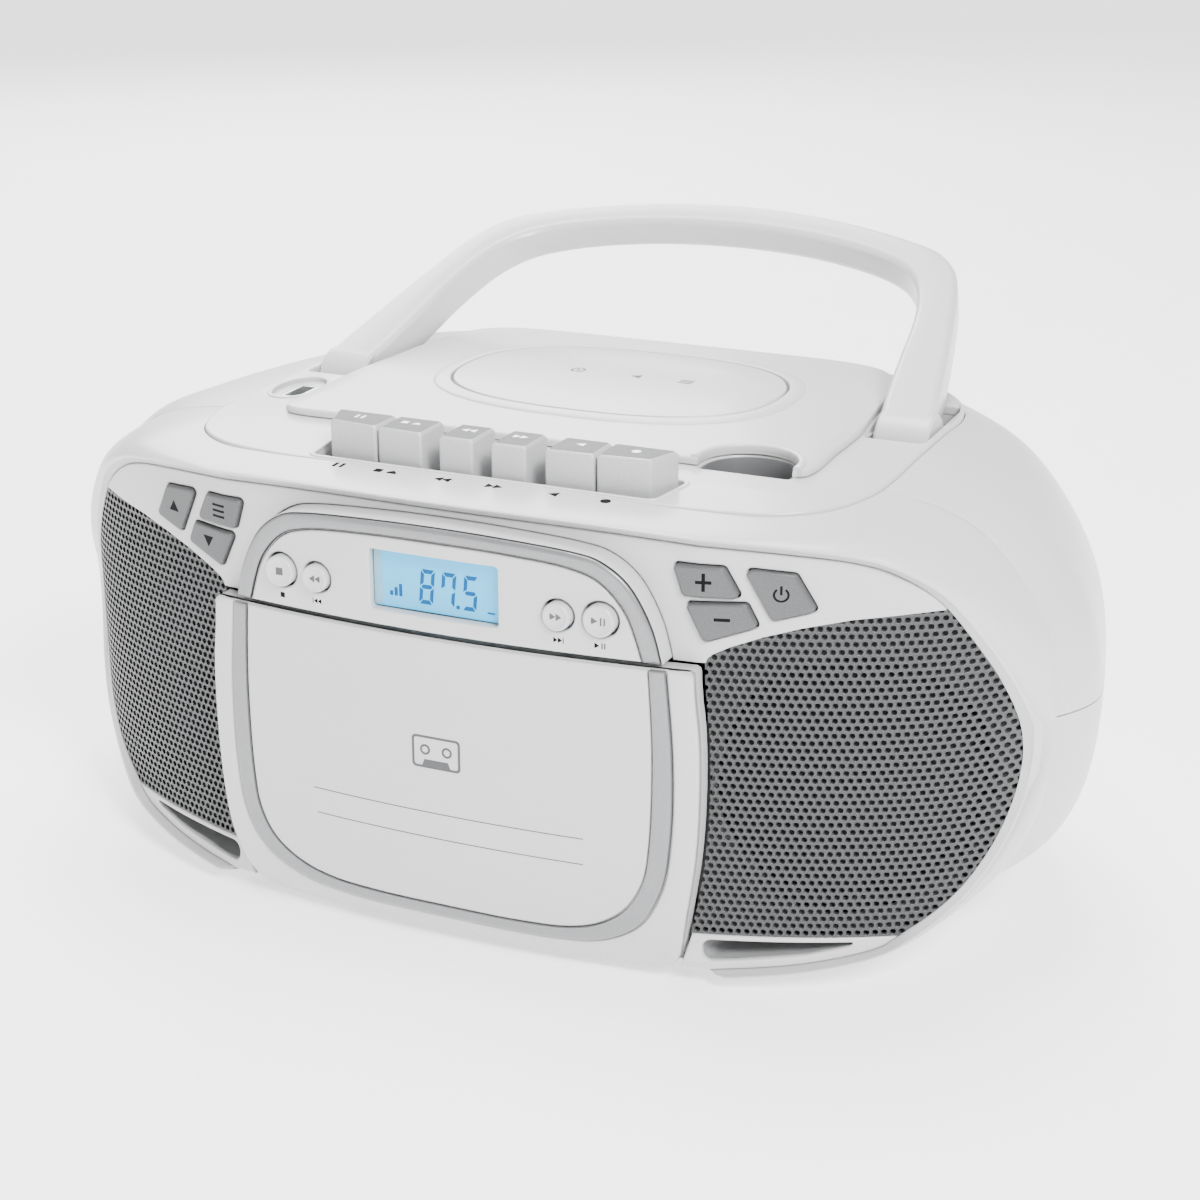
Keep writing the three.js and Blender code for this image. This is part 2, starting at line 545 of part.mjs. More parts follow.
add('tape_head', join(
  box(-12, 12, HOLD_Y0 + 4, HOLD_Y1 - 1, HEAD_Z, HEAD_Z + 7),
  box(-36, 41, CHASSIS_Y - 3.4, CHASSIS_Y - 1, HEAD_Z + 0.5, HEAD_Z + 9),
  box(-11, 11, HOLD_Y1 - 2, CHASSIS_Y - 2, HEAD_Z + 1, HEAD_Z + 6),
  rod(1.2, HOLD_Y0 + 2, CHASSIS_Y - 2, 'y', [CAPSTAN[0], 0, CAPSTAN[1] + 9.4], 10),
), 'steel');
add('tape_motor', join(
  rod(16, CHASSIS_Y + 3, CHASSIS_Y + 27, 'y', [-42, 0, 80], 28),
  rod(5, CHASSIS_Y + 26, CHASSIS_Y + 31, 'y', [-42, 0, 80], 20),
), 'steel');

// ---------- tape keys ----------
const keyPlan = {
  pause_key: [-52.8, -36.2],
  stop_eject_key: [-35.6, -20.2],
  fast_forward_key: [-14.4, -2.9],
  rewind_key: [2.9, 14.4],
  play_key: [20.2, 35.6],
  record_key: [36.2, 52.8],
};
const keySpan = (x0, x1) => {
  const outerLean = (x) => (Math.abs(x) > 50 ? Math.sign(x) * 4.2 : 0);
  const bow = (x) => KEY_FRONT_Y + 3.2 * (x / 52.8) ** 2;
  const ring = (z, trim) => [
    [x0 + trim, bow(x0) + trim * 1.4, z], [x1 - trim, bow(x1) + trim * 1.4, z],
    [x1 - trim + outerLean(x1), KEY_REAR_Y - trim, z], [x0 + trim + outerLean(x0), KEY_REAR_Y - trim, z],
  ];
  const cap = loft([ring(135.6, 0), ring(KEY_TOP_Z - 1.4, 0), ring(KEY_TOP_Z, 1.2)], 2);
  const mid = (x0 + x1) / 2;
  const half = Math.min((x1 - x0) / 2 - 1.5, 4);
  return cut(
    join(
      cap,
      box(mid - half, mid + half, KEY_FRONT_Y + 8, KEY_SHAFT_Y, KEY_SHAFT_Z - 1.5, KEY_SHAFT_Z + 2.5),
      box(mid - half, mid + half, KEY_FRONT_Y + 8, KEY_FRONT_Y + 12, KEY_SHAFT_Z - 1, 136.4),
      rod(4.4, mid - half, mid + half, 'x', [0, KEY_SHAFT_Y, KEY_SHAFT_Z], 20),
    ),
    rod(KEY_SHAFT_R + GAP, mid - 20, mid + 20, 'x', [0, KEY_SHAFT_Y, KEY_SHAFT_Z], 16),
  );
};
for (const [name, [x0, x1]] of Object.entries(keyPlan)) add(name, keySpan(x0, x1), 'silver');
add('key_shaft', rod(KEY_SHAFT_R, -63, 63, 'x', [0, KEY_SHAFT_Y, KEY_SHAFT_Z], 16), 'steel');

// ---------- top deck ----------
const SLOT_X1 = 109.6;
const armSlot = [[90.4, 112.6], [SLOT_X1, 112.6], [SLOT_X1, 158.6], [85.9, 158.6], [88.2, 133]];
const notchX = 70;
const notch = (r, lift) => Array.from({ length: 15 }, (_, i) => {
  const a = (i / 14) * Math.PI;
  return [notchX + r * Math.cos(a), LID_FRONT_Y + 4 + lift + r * Math.sin(a)];
}).concat([[notchX - r, LID_FRONT_Y - 1 + lift], [notchX + r, LID_FRONT_Y - 1 + lift]]);
const oval = (cx, cy, rx, ry, n = 24) => Array.from({ length: n }, (_, i) => {
  const a = (i / n) * 2 * Math.PI;
  return [cx + rx * Math.cos(a), cy + ry * Math.sin(a)];
});
const deckPlate = loft([
  deckOutline.map((p) => [...p, DECK_TOP_Z - DECK_T]),
  deckOutline.map((p) => [...p, DECK_TOP_Z - 0.9]),
  inset(deckOutline, 0.9).map((p) => [...p, DECK_TOP_Z]),
], 2);
const USB = [-100, 91.8];
const lug = (x0, x1, y0, y1, z0) => box(x0, x1, y0, y1, z0, DECK_TOP_Z - 1);
let deck = join(
  deckPlate,
  rod(WELL_R + 2.4, WELL_FLOOR_Z - 2.4, DECK_TOP_Z - 1, 'z', [0, WELL_Y, 0], 64),
  lug(57.6, 60.6, 49, 59, 126),
  lug(-60.6, -57.6, 49, 59, 126),
);
for (const s of [-1, 1]) {
  const lo = (a, b) => [Math.min(s * a, s * b), Math.max(s * a, s * b)];
  deck = join(deck, lug(...lo(86, 88), 122, 136, 131), lug(...lo(SLOT_X1, DECK_HALF_W - 0.2), 122, 136, 131));
  deck = cut(deck, prism(s > 0 ? armSlot : flipX(armSlot), 'z', 138, 150));
  deck = join(
    deck,
    rod(PIN_R, ...lo(86.5, 93.6), 'x', [0, HANDLE_PIVOT_Y, HANDLE_PIVOT_Z], 20),
    rod(PIN_R, ...lo(105.2, 110.4), 'x', [0, HANDLE_PIVOT_Y, HANDLE_PIVOT_Z], 20),
  );
}
deck = cut(
  deck,
  rod(WELL_R, WELL_FLOOR_Z, 160, 'z', [0, WELL_Y, 0], 64),
  rod(9, 110, 140, 'z', [0, WELL_Y, 0], 24),
  box(18, 57, WELL_Y - 8, WELL_Y + 8, 110, 140),
  prism([[-58.8, 25.6], [58.8, 25.6], [60.2, KEY_REAR_Y + 2.4], [-60.2, KEY_REAR_Y + 2.4]], 'z', 130, 160),
  prism(notch(14.6, 0), 'z', DECK_TOP_Z - 2.2, 160),
  prism(oval(USB[0], USB[1], 7.4, 13), 'z', DECK_TOP_Z - 1, 160),
  box(USB[0] - 3.6, USB[0] + 3.6, USB[1] - 7.4, USB[1] + 7.4, 120, 160),
  rod(KEY_SHAFT_R + GAP, -80, 80, 'x', [0, KEY_SHAFT_Y, KEY_SHAFT_Z], 16),
);
add('top_deck', deck, 'white');
add('usb_socket', join(
  cut(
    box(USB[0] - 3.3, USB[0] + 3.3, USB[1] - 7.1, USB[1] + 7.1, 128, DECK_TOP_Z - 1.3),
    box(USB[0] - 2.5, USB[0] + 2.5, USB[1] - 6.3, USB[1] + 6.3, 129.6, 150),
  ),
  box(USB[0] - 0.2, USB[0] + 1.7, USB[1] - 5.4, USB[1] + 5.4, 129, DECK_TOP_Z - 3),
), 'steel');

// ---------- disc lid and disc drive ----------
const lidHalf = [
  [0, LID_FRONT_Y], [84, LID_FRONT_Y], [88, LID_FRONT_Y + 1.6], [LID_HALF_W, LID_FRONT_Y + 5.5],
  [LID_HALF_W, 114], [87.4, 133], [84.9, 157], [81, 174], [74, 184], [60, 189.6], [0, LID_REAR_Y],
];
const LID_Z = DECK_TOP_Z + GAP;
const lidOutline = mirrored(lidHalf);
const ovalRing = (rx, ry, z) => oval(0, 129.4, rx, ry, 48).map((p) => [...p, z]);
const lidTop = LID_Z + LID_T;
add('cd_lid', cut(
  join(
    loft([
      lidOutline.map((p) => [...p, LID_Z]),
      lidOutline.map((p) => [...p, lidTop - 0.8]),
      inset(lidOutline, 1.2).map((p) => [...p, lidTop]),
    ], 2),
    loft([
      ovalRing(63, 46, LID_Z + 0.5), ovalRing(63, 46, lidTop + 0.2), ovalRing(56.5, 39.5, lidTop + LID_CROWN),
    ], 2),
    rod(3, 135.3, LID_Z + 1, 'z', [0, WELL_Y, 0], 16),
  ),
  prism(notch(15, -1), 'z', 130, 160),
), 'white');
add('disc_clamp', turned([
  [0, 132.4], [8, 132.4], [8, 130.4], [15, 130.4], [15, 132], [9, 135], [0, 135],
], 'z', [0, WELL_Y, 0], 28), 'dark');
add('disc_spindle', turned([
  [0, 112], [8, 112], [8, 126], [14, 126.4], [14, 128.4], [7.4, 128.4], [7, 131], [5, 131.9], [0, 131.9],
], 'z', [0, WELL_Y, 0], 28), 'dark');
add('laser_pickup', join(
  box(21, 37, WELL_Y - 7, WELL_Y + 7, 114, 121),
  rod(4, 120, 126.6, 'z', [29, WELL_Y, 0], 20),
), 'dark');

// ---------- handle ----------
const HR = HANDLE_REACH;
const arm = [
  [91.2, 0, 108.9, 0], [89.9, 8, 107.6, 9], [88.2, 22, 104.9, 24], [86.6, 38, 101.8, 42], [85.2, 54, 98, 61],
  [82.8, 68, 94.2, 78], [78.6, 80, 89.4, 91.4], [71.4, 89.6, 81.4, 101.4], [60.5, 96.4, 69, 107.6],
  [45, 102, 50.5, 114.2], [24, 106.4, 27, 119.6], [0, HR - 14, 0, HR],
];
const stationsU = arm.concat(arm.slice(0, -1).reverse().map(([a, b, c, d]) => [-a, b, -c, d]));
const handleRings = stationsU.map(([xi, ui, xo, uo]) => {
  const drop = 2.6 * ease((Math.max(ui, 0) - 60) / 50);
  const [n0, n1] = [HANDLE_N0 + drop, HANDLE_N1];
  const place = (t, n) => [xi + (xo - xi) * t, ui + (uo - ui) * t, n];
  const section = [
    [0.16, n0], [0.84, n0], [0.96, n0 + 1.6], [1, n0 + 4], [1, n1 - 4], [0.95, n1 - 1.4],
    [0.82, n1], [0.18, n1], [0.05, n1 - 1.4], [0, n1 - 4], [0, n0 + 4], [0.04, n0 + 1.6],
  ];
  return section.map(([t, n]) => place(t, n));
});
const boss = (x0, x1) => rod(HANDLE_BOSS_R, x0, x1, 'x', [0, 0, 0], 28);
const bore = (x0, x1) => rod(PIN_R + GAP, x0, x1, 'x', [0, 0, 0], 20);
const handle = cut(
  join(loft(handleRings, 1), boss(91.2, 108.9), boss(-108.9, -91.2)),
  bore(90, 94), bore(104.8, 110), bore(-94, -90), bore(-110, -104.8),
);
handle.rotateX(HANDLE_TILT * rad);
handle.translate(0, HANDLE_PIVOT_Y, HANDLE_PIVOT_Z);
add('handle', handle, 'white');

// ---------- rear and inside ----------
add('battery_tray', cut(
  box(
    -BAT_HALF_W - 1.4, BAT_HALF_W + 1.4, BODY_REAR_Y - 4.6 - BAT_D, BODY_REAR_Y - 3,
    BAT_Z0 - 1.4, BAT_Z0 + BAT_H + 1.4,
  ),
  box(-BAT_HALF_W, BAT_HALF_W, BODY_REAR_Y - 3 - BAT_D, BAY_Y1, BAT_Z0, BAT_Z0 + BAT_H),
), 'dark');
add('battery_door', join(
  box(-BAT_HALF_W - 1.1, BAT_HALF_W + 1.1, BODY_REAR_Y - 2.4, BODY_REAR_Y, BAT_Z0 - 0.6, BAT_Z0 + BAT_H + 0.6),
  box(-12, 12, BODY_REAR_Y - 1, BODY_REAR_Y + 1.2, BAT_Z0 + BAT_H - 7, BAT_Z0 + BAT_H - 4),
), 'white');
const eight = (r) => [
  ...[72, 80].map((x) => rod(r, BODY_REAR_Y - 7, BODY_REAR_Y + 5, 'y', [x, 0, 35], 20)),
  box(72, 80, BODY_REAR_Y - 7, BODY_REAR_Y + 5, 35 - r * 0.8, 35 + r * 0.8),
];
add('mains_inlet', join(
  cut(box(65.3, 86.7, BODY_REAR_Y - 14, BODY_REAR_Y + 0.5, 28.3, 41.7), ...eight(4.2)),
  ...[72, 80].map((x) => rod(1.1, BODY_REAR_Y - 8, BODY_REAR_Y - 1, 'y', [x, 0, 35], 10)),
), 'dark');
add('antenna_base', join(
  rod(7, BODY_REAR_Y + 0.2, BODY_REAR_Y + 3.4, 'y', [ANT_X, 0, ANT_Z], 24),
  rod(2, BODY_REAR_Y + 3, BODY_REAR_Y + 11, 'y', [ANT_X, 0, ANT_Z], 14),
  rod(3.8, BODY_REAR_Y + 10.4, BODY_REAR_Y + 12, 'y', [ANT_X, 0, ANT_Z], 18),
), 'dark');
const ANT_Y = BODY_REAR_Y + 7;
add('antenna_lower', cut(
  join(
    rod(5.4, BODY_REAR_Y + 3.8, BODY_REAR_Y + 10, 'y', [ANT_X, 0, ANT_Z], 24),
    rod(3, ANT_X + 3, ANT_X + ANT_LEN - 5, 'x', [0, ANT_Y, ANT_Z], 16),
  ),
  rod(2 + GAP, BODY_REAR_Y, BODY_REAR_Y + 20, 'y', [ANT_X, 0, ANT_Z], 14),
  rod(2.2, ANT_X + 9, ANT_X + ANT_LEN, 'x', [0, ANT_Y, ANT_Z], 14),
), 'steel');
add('antenna_upper', turned([
  [0, ANT_X + 10], [1.8, ANT_X + 10], [1.8, ANT_X + ANT_LEN - 4.6], [3.2, ANT_X + ANT_LEN - 4.6],
  [3.4, ANT_X + ANT_LEN - 1], [2.2, ANT_X + ANT_LEN], [0, ANT_X + ANT_LEN],
], 'x', [0, ANT_Y, ANT_Z], 14), 'steel');
add('main_board', join(
  box(-105, 105, 78, 170, 92, 93.6),
  box(-60, -40, 90, 110, 93, 96), box(10, 38, 100, 128, 93, 96), box(-20, -4, 130, 150, 93, 99),
  rod(6, 93, 108, 'z', [70, 100, 0], 16), rod(6, 93, 108, 'z', [86, 100, 0], 16),
), 'board');
add('power_transformer', join(
  box(-110, -72, 112, 148, 14, 48), box(-105, -77, 104, 156, 18, 44), box(-116, -66, 118, 142, 12.4, 15),
), 'steel');
for (const [name, x, y] of [
  ['front_left_foot', -FOOT_X, 46], ['front_right_foot', FOOT_X, 46],
  ['rear_left_foot', -FOOT_X, 158], ['rear_right_foot', FOOT_X, 158],
]) {
  add(name, turned([
    [0, 0], [FOOT_R - 1, 0], [FOOT_R, 0.8], [FOOT_R, BODY_BASE_Z - GAP], [0, BODY_BASE_Z - GAP],
  ], 'z', [x, y, 0], 24), 'rubber');
}

// The origin sits on the ground under the middle of the bounding box.
const bounds = new THREE.Box3().setFromObject(group);
const middleY = (bounds.min.y + bounds.max.y) / 2;
group.children.forEach((mesh) => mesh.geometry.translate(0, -middleY, 0));

export default group;
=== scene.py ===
import math
import bpy
import bmesh
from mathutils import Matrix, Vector
from mathutils.geometry import tessellate_polygon


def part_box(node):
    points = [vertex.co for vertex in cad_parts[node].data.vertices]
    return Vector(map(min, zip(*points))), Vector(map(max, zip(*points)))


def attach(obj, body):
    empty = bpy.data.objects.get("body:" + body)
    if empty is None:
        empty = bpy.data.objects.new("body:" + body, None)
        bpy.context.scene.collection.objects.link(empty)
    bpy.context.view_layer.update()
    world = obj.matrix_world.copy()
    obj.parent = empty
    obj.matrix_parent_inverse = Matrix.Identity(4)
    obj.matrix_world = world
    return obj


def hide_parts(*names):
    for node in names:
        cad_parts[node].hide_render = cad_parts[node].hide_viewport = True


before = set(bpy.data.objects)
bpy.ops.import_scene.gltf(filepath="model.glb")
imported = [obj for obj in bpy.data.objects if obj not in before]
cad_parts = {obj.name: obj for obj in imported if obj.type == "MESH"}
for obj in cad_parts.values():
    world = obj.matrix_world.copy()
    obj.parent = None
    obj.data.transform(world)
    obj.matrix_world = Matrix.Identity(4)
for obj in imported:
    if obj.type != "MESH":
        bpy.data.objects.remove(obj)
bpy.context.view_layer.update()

# Shapes are drawn in millimetres: x from the middle, y from the front panel to the rear, z up from the ground.
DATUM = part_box("display_trim")[0].y + 0.005


def to_world(p):
    return Vector((p[0] * 0.001, DATUM + p[1] * 0.001, p[2] * 0.001))


# ---------------------------------------------------------------- materials
def set_inputs(node, values):
    for label, value in values.items():
        node.inputs[label].default_value = value
    return node


def material(name, colour, rough, metal=0.0, grain=900.0, bump=0.03, mottle=0.04, coat=0.0,
             spread=0.06, spec=0.5, emit=None, sparkle=False):
    """Moulded, painted or metal surface with a fine grain, a faint mottle and uneven gloss."""
    m = bpy.data.materials.new(name)
    m.use_nodes = True
    nt = m.node_tree
    n = nt.nodes
    b = set_inputs(n["Principled BSDF"], {"Metallic": metal, "Specular IOR Level": spec, "Coat Weight": coat,
                                          "Coat Roughness": 0.12})
    geo = n.new("ShaderNodeTexCoord")
    fine = set_inputs(n.new("ShaderNodeTexNoise"), {"Scale": grain, "Detail": 3.0})
    broad = set_inputs(n.new("ShaderNodeTexNoise"), {"Scale": 14.0, "Detail": 4.0})
    for t in (fine, broad):
        nt.links.new(geo.outputs["Object"], t.inputs["Vector"])
    ramp = n.new("ShaderNodeValToRGB")
    for stop, place, shade in zip(ramp.color_ramp.elements, (0.3, 0.7), (1 - mottle, 1 + mottle)):
        stop.position = place
        stop.color = (*(min(1.0, c * shade) for c in colour), 1)
    nt.links.new((fine if sparkle else broad).outputs["Fac"], ramp.inputs["Fac"])
    nt.links.new(ramp.outputs["Color"], b.inputs["Base Color"])
    gloss = set_inputs(n.new("ShaderNodeMapRange"), {"From Min": 0.3, "From Max": 0.7, "To Min": rough - spread,
                                                     "To Max": rough + spread})
    nt.links.new(broad.outputs["Fac"], gloss.inputs["Value"])
    nt.links.new(gloss.outputs["Result"], b.inputs["Roughness"])
    relief = set_inputs(n.new("ShaderNodeBump"), {"Strength": bump, "Distance": 0.0002})
    nt.links.new(fine.outputs["Fac"], relief.inputs["Height"])
    nt.links.new(relief.outputs["Normal"], b.inputs["Normal"])
    if emit:
        set_inputs(b, {"Emission Color": (*emit[0], 1), "Emission Strength": emit[1]})
    return m


WHITE = material("shell_white", (0.53, 0.532, 0.53), 0.34, grain=1500, bump=0.05, mottle=0.012, coat=0.15)
PANEL = material("panel_white", (0.50, 0.502, 0.502), 0.38, grain=1800, bump=0.05, mottle=0.012, coat=0.1)
# painted shade: a greyer copy of the white plastic, for the lip's chamfer and inner wall
LIP_PAINTED_SHADE = material("lip_painted_shade", (0.40, 0.403, 0.406), 0.4, grain=1600, bump=0.06, mottle=0.02)
SILVER = material("silver_paint", (0.22, 0.223, 0.23), 0.36, 0.5, grain=2600, bump=0.12, mottle=0.10, sparkle=True)
BTNSILVER = material("button_silver", (0.085, 0.087, 0.09), 0.45, 0.3, grain=2600, bump=0.16, mottle=0.14,
                     sparkle=True)
KEYSILVER = material("key_silver", (0.47, 0.473, 0.48), 0.38, 0.25, grain=2600, bump=0.12, mottle=0.10, sparkle=True)
# painted shade: a grey stand-in for the white walls of the port ducts
DUCT_PAINTED_SHADE = material("duct_painted_shade", (0.24, 0.243, 0.247), 0.5, grain=1600, bump=0.08, mottle=0.05)
# painted shade: a darker copy of the key silver for the key tops
KEY_TOP_PAINTED_SHADE = material("key_top_painted_shade", (0.17, 0.172, 0.176), 0.6, grain=2600, bump=0.16, mottle=0.14, spec=0.15, sparkle=True)
MESH = material("grille_paint", (0.03, 0.031, 0.033), 0.4, grain=2400, bump=0.1, mottle=0.08, spec=0.5, coat=0.1)
# dark plastic, also used as painted shade on the ledge inside the display arch and on the sheet behind the grilles
DARK_AND_PAINTED_SHADE = material("dark_moulding_and_painted_shade", (0.018, 0.018, 0.019), 0.5, grain=1500, bump=0.12, mottle=0.15)
WELLGREY = material("well_grey", (0.10, 0.102, 0.105), 0.45, grain=1600, bump=0.1, mottle=0.06)
STEEL = material("zinc_steel", (0.58, 0.59, 0.60), 0.32, 0.9, grain=700, bump=0.08, mottle=0.08)
CHROME = material("aerial_chrome", (0.78, 0.79, 0.80), 0.12, 1.0, grain=500, bump=0.02, mottle=0.03, spread=0.03)
FRAME = material("frame_steel", (0.14, 0.142, 0.145), 0.45, 0.6, grain=700, bump=0.1, mottle=0.1)
CONE = material("cone_paper", (0.012, 0.012, 0.013), 0.75, grain=1200, bump=0.5, mottle=0.3)
RUBBER = material("rubber_black", (0.02, 0.02, 0.021), 0.8, grain=1600, bump=0.3, mottle=0.25)
INK = material("print_ink", (0.006, 0.006, 0.007), 0.6, grain=2000, bump=0.02, mottle=0.05, spec=0.05)
# grey print, also used as painted shade in the groove round the lid pad
GREY_PRINT_AND_GROOVE_SHADE = material("print_grey_and_groove_shade", (0.09, 0.092, 0.096), 0.5, grain=2000, bump=0.02, mottle=0.04, spec=0.1)
BOARD = material("board_green", (0.03, 0.16, 0.09), 0.4, grain=600, bump=0.1, mottle=0.15, coat=0.3)
LCD = material("lcd_blue", (0.05, 0.36, 0.62), 0.3, grain=3000, bump=0.02, mottle=0.02, spec=0.15,
               emit=((0.07, 0.48, 0.82), 0.5))
# painted shadow of the frame along the left edge of the display
LCD_PAINTED_SHADOW = material("lcd_painted_shadow", (0.16, 0.36, 0.47), 0.3, grain=3000, bump=0.02, mottle=0.03)
DIGIT = material("lcd_digit", (0.0, 0.07, 0.22), 0.4, grain=3000, bump=0.02, mottle=0.03, spec=0.1,
                 emit=((0.0, 0.14, 0.4), 0.15))
BRASS = material("contact_brass", (0.70, 0.52, 0.22), 0.3, 1.0, grain=700, bump=0.05, mottle=0.06)


# ---------------------------------------------------------------- curves in the plane
def catmull(points, count, closed=True):
    """Even sampling of a centripetal curve through points."""
    n = len(points)
    dense = []
    spans = n if closed else n - 1
    for i in range(spans):
        p = []
        for k in (-1, 0, 1, 2):
            j = i + k
            p.append(points[j % n] if closed else points[min(max(j, 0), n - 1)])
        d = [max(math.dist(p[k], p[k + 1]) ** 0.5, 1e-4) for k in range(3)]
        if not closed and i == 0:
            d[0] = d[1]
        if not closed and i == spans - 1:
            d[2] = d[1]
        for s in range(12):
            t = s / 12
            out = []
            for c in range(len(points[0])):
                x0, x1, x2, x3 = (q[c] for q in p)
                t1 = (x1 - x0) / d[0] - (x2 - x0) / (d[0] + d[1]) + (x2 - x1) / d[1]
                t2 = (x2 - x1) / d[1] - (x3 - x1) / (d[1] + d[2]) + (x3 - x2) / d[2]
                t1 *= d[1]
                t2 *= d[1]
                a, b = 2 * x1 - 2 * x2 + t1 + t2, -3 * x1 + 3 * x2 - 2 * t1 - t2
                out.append(((a * t + b) * t + t1) * t + x1)
            dense.append(tuple(out))
    dense.append(points[0] if closed else points[-1])
    length = [0.0]
    for a, b in zip(dense, dense[1:]):
        length.append(length[-1] + math.dist(a, b))
    res, k = [], 0
    steps = count if closed else count - 1
    for i in range(count):
        want = length[-1] * i / steps
        while k < len(length) - 2 and length[k + 1] < want:
            k += 1
        f = (want - length[k]) / max(length[k + 1] - length[k], 1e-9)
        res.append(tuple(a + (b - a) * min(max(f, 0), 1) for a, b in zip(dense[k], dense[k + 1])))
    return res


def mirror(half):
    """Closes a half outline with its mirror image."""
    return half + [(-p[0], p[1]) for p in reversed(half) if p[0] > 1e-6]


def arc_mirror(half):
    """Carries an open curve on past its last point, which is on the middle line."""
    return half + [(-p[0], p[1]) for p in reversed(half[:-1])]


def area(loop):
    return 0.5 * sum(a[0] * b[1] - b[0] * a[1] for a, b in zip(loop, loop[1:] + loop[:1]))


def offset(loop, d):
    """Moves a loop to its left by d: inwards for an anticlockwise outline."""
    n, out = len(loop), []
    for i, p in enumerate(loop):
        a, b = loop[i - 1], loop[(i + 1) % n]
        u = Vector((p[0] - a[0], p[1] - a[1])).normalized()
        v = Vector((b[0] - p[0], b[1] - p[1])).normalized()
        k = d / max(1 + u.dot(v), 0.5)
        out.append((p[0] - (u.y + v.y) * k, p[1] + (u.x + v.x) * k))
    return out


def ccw(loop):
    return list(loop) if area(loop) > 0 else list(reversed(loop))


def fillet(points, radii, seg=6):
    """Rounds the corners of a polygon."""
    out, n = [], len(points)
    if not isinstance(radii, (list, tuple)):
        radii = [radii] * n
    for i, p in enumerate(points):
        p = Vector(p)
        a, b = Vector(points[i - 1]), Vector(points[(i + 1) % n])
        u, v = (a - p).normalized(), (b - p).normalized()
        angle = u.angle(v)
        r = radii[i]
        if r <= 0 or angle > math.pi - 0.03:
            out.append(tuple(p))
            continue
        t = min(r / math.tan(angle / 2), (a - p).length * 0.49, (b - p).length * 0.49)
        r = t * math.tan(angle / 2)
        centre = p + (u + v).normalized() * (r / math.sin(angle / 2))
        s, e = p + u * t - centre, p + v * t - centre
        turn = s.angle_signed(e)
        for k in range(seg + 1):
            w = -turn * k / seg
            out.append((centre.x + s.x * math.cos(w) - s.y * math.sin(w),
                        centre.y + s.x * math.sin(w) + s.y * math.cos(w)))
    return out


def ellipse(cx, cy, rx, ry, n=48):
    return [(cx + rx * math.cos(2 * math.pi * i / n), cy + ry * math.sin(2 * math.pi * i / n)) for i in range(n)]


def rect(x0, x1, y0, y1, r=1.0, seg=6):
    return fillet([(x0, y0), (x1, y0), (x1, y1), (x0, y1)], r, seg)


# ---------------------------------------------------------------- mesh building
def bind(o, body, replaces=()):
    """Ties a piece to its body and hides the CAD nodes it stands in for."""
    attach(o, body)
    if replaces:
        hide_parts(*replaces)
    return o


def build(name, bm, mats, body, replaces=(), sharp=30, place=to_world):
    for v in bm.verts:
        v.co = place(v.co) if place else v.co
    bmesh.ops.recalc_face_normals(bm, faces=bm.faces[:])
    me = bpy.data.meshes.new(name)
    bm.to_mesh(me)
    bm.free()
    for m in mats:
        me.materials.append(m)
    me.polygons.foreach_set("use_smooth", [True] * len(me.polygons))
    me.set_sharp_from_angle(angle=math.radians(sharp))
    o = bpy.data.objects.new(name, me)
    bpy.context.scene.collection.objects.link(o)
    return bind(o, body, replaces) if body else o


def slices(bm, axis, values):
    """Cuts edges across a mesh, so that it can follow a curved surface."""
    no = [0, 0, 0]
    no[axis] = 1
    for value in values:
        co = [0, 0, 0]
        co[axis] = value
        bmesh.ops.bisect_plane(bm, geom=bm.verts[:] + bm.edges[:] + bm.faces[:], dist=1e-5,
                               plane_co=co, plane_no=no)


def steps(a, b, size):
    """Even cuts between two ends, about a size apart."""
    n = max(1, round((b - a) / size))
    return [a + (b - a) * i / n for i in range(1, n)]


def solid_plate(bm, loops, prof, mat=0, mat_steps=None):
    """Plate over an outline with holes. prof: (inset, height) from the back to the front."""
    loops = [ccw(loops[0])] + [list(reversed(ccw(h))) for h in loops[1:]]
    levels = [[[bm.verts.new((p[0], p[1], h)) for p in offset(loop, ins)] for loop in loops] for ins, h in prof]
    for k in range(len(prof) - 1):
        for lo, hi in zip(levels[k], levels[k + 1]):
            n = len(lo)
            for i in range(n):
                f = bm.faces.new((lo[i], lo[(i + 1) % n], hi[(i + 1) % n], hi[i]))
                f.material_index = mat_steps[k] if mat_steps else mat
    for level, back in ((levels[0], True), (levels[-1], False)):
        flat = [v for loop in level for v in loop]
        for t in tessellate_polygon([[Vector((v.co.x, v.co.y, 0)) for v in loop] for loop in level]):
            a, b, c = (flat[i] for i in t)
            if len({a, b, c}) < 3:
                continue
            turn = (b.co.x - a.co.x) * (c.co.y - a.co.y) - (c.co.x - a.co.x) * (b.co.y - a.co.y)
            if abs(turn) < 1e-9:
                continue
            tri = (a, b, c) if (turn > 0) != back else (a, c, b)
            try:
                f = bm.faces.new(tri)
                f.material_index = mat
            except ValueError:
                pass


def rounded(front, thick, r=0.5, back=0.3):
    """Profile of a plate with a rounded front edge: front height, thickness, radius."""
    p = [(back, front - thick), (0, front - thick + back)]
    for k in range(5):
        a = math.pi / 2 * k / 4
        p.append((r * (1 - math.cos(a)), front - r + r * math.sin(a)))
    return p


def loft(bm, rings, closed_ends=True, loop=False, mats=None):
    n = len(rings[0])
    vs = [[bm.verts.new(p) for p in ring] for ring in rings]
    count = len(vs) if loop else len(vs) - 1
    for r in range(count):
        a, b = vs[r], vs[(r + 1) % len(vs)]
        for i in range(n):
            j = (i + 1) % n
            f = bm.faces.new((a[i], a[j], b[j], b[i]))
            if mats:
                f.material_index = mats(r, i)
    if closed_ends and not loop:
        for ring in (vs[0], vs[-1]):
            bm.faces.new(ring)
    return vs


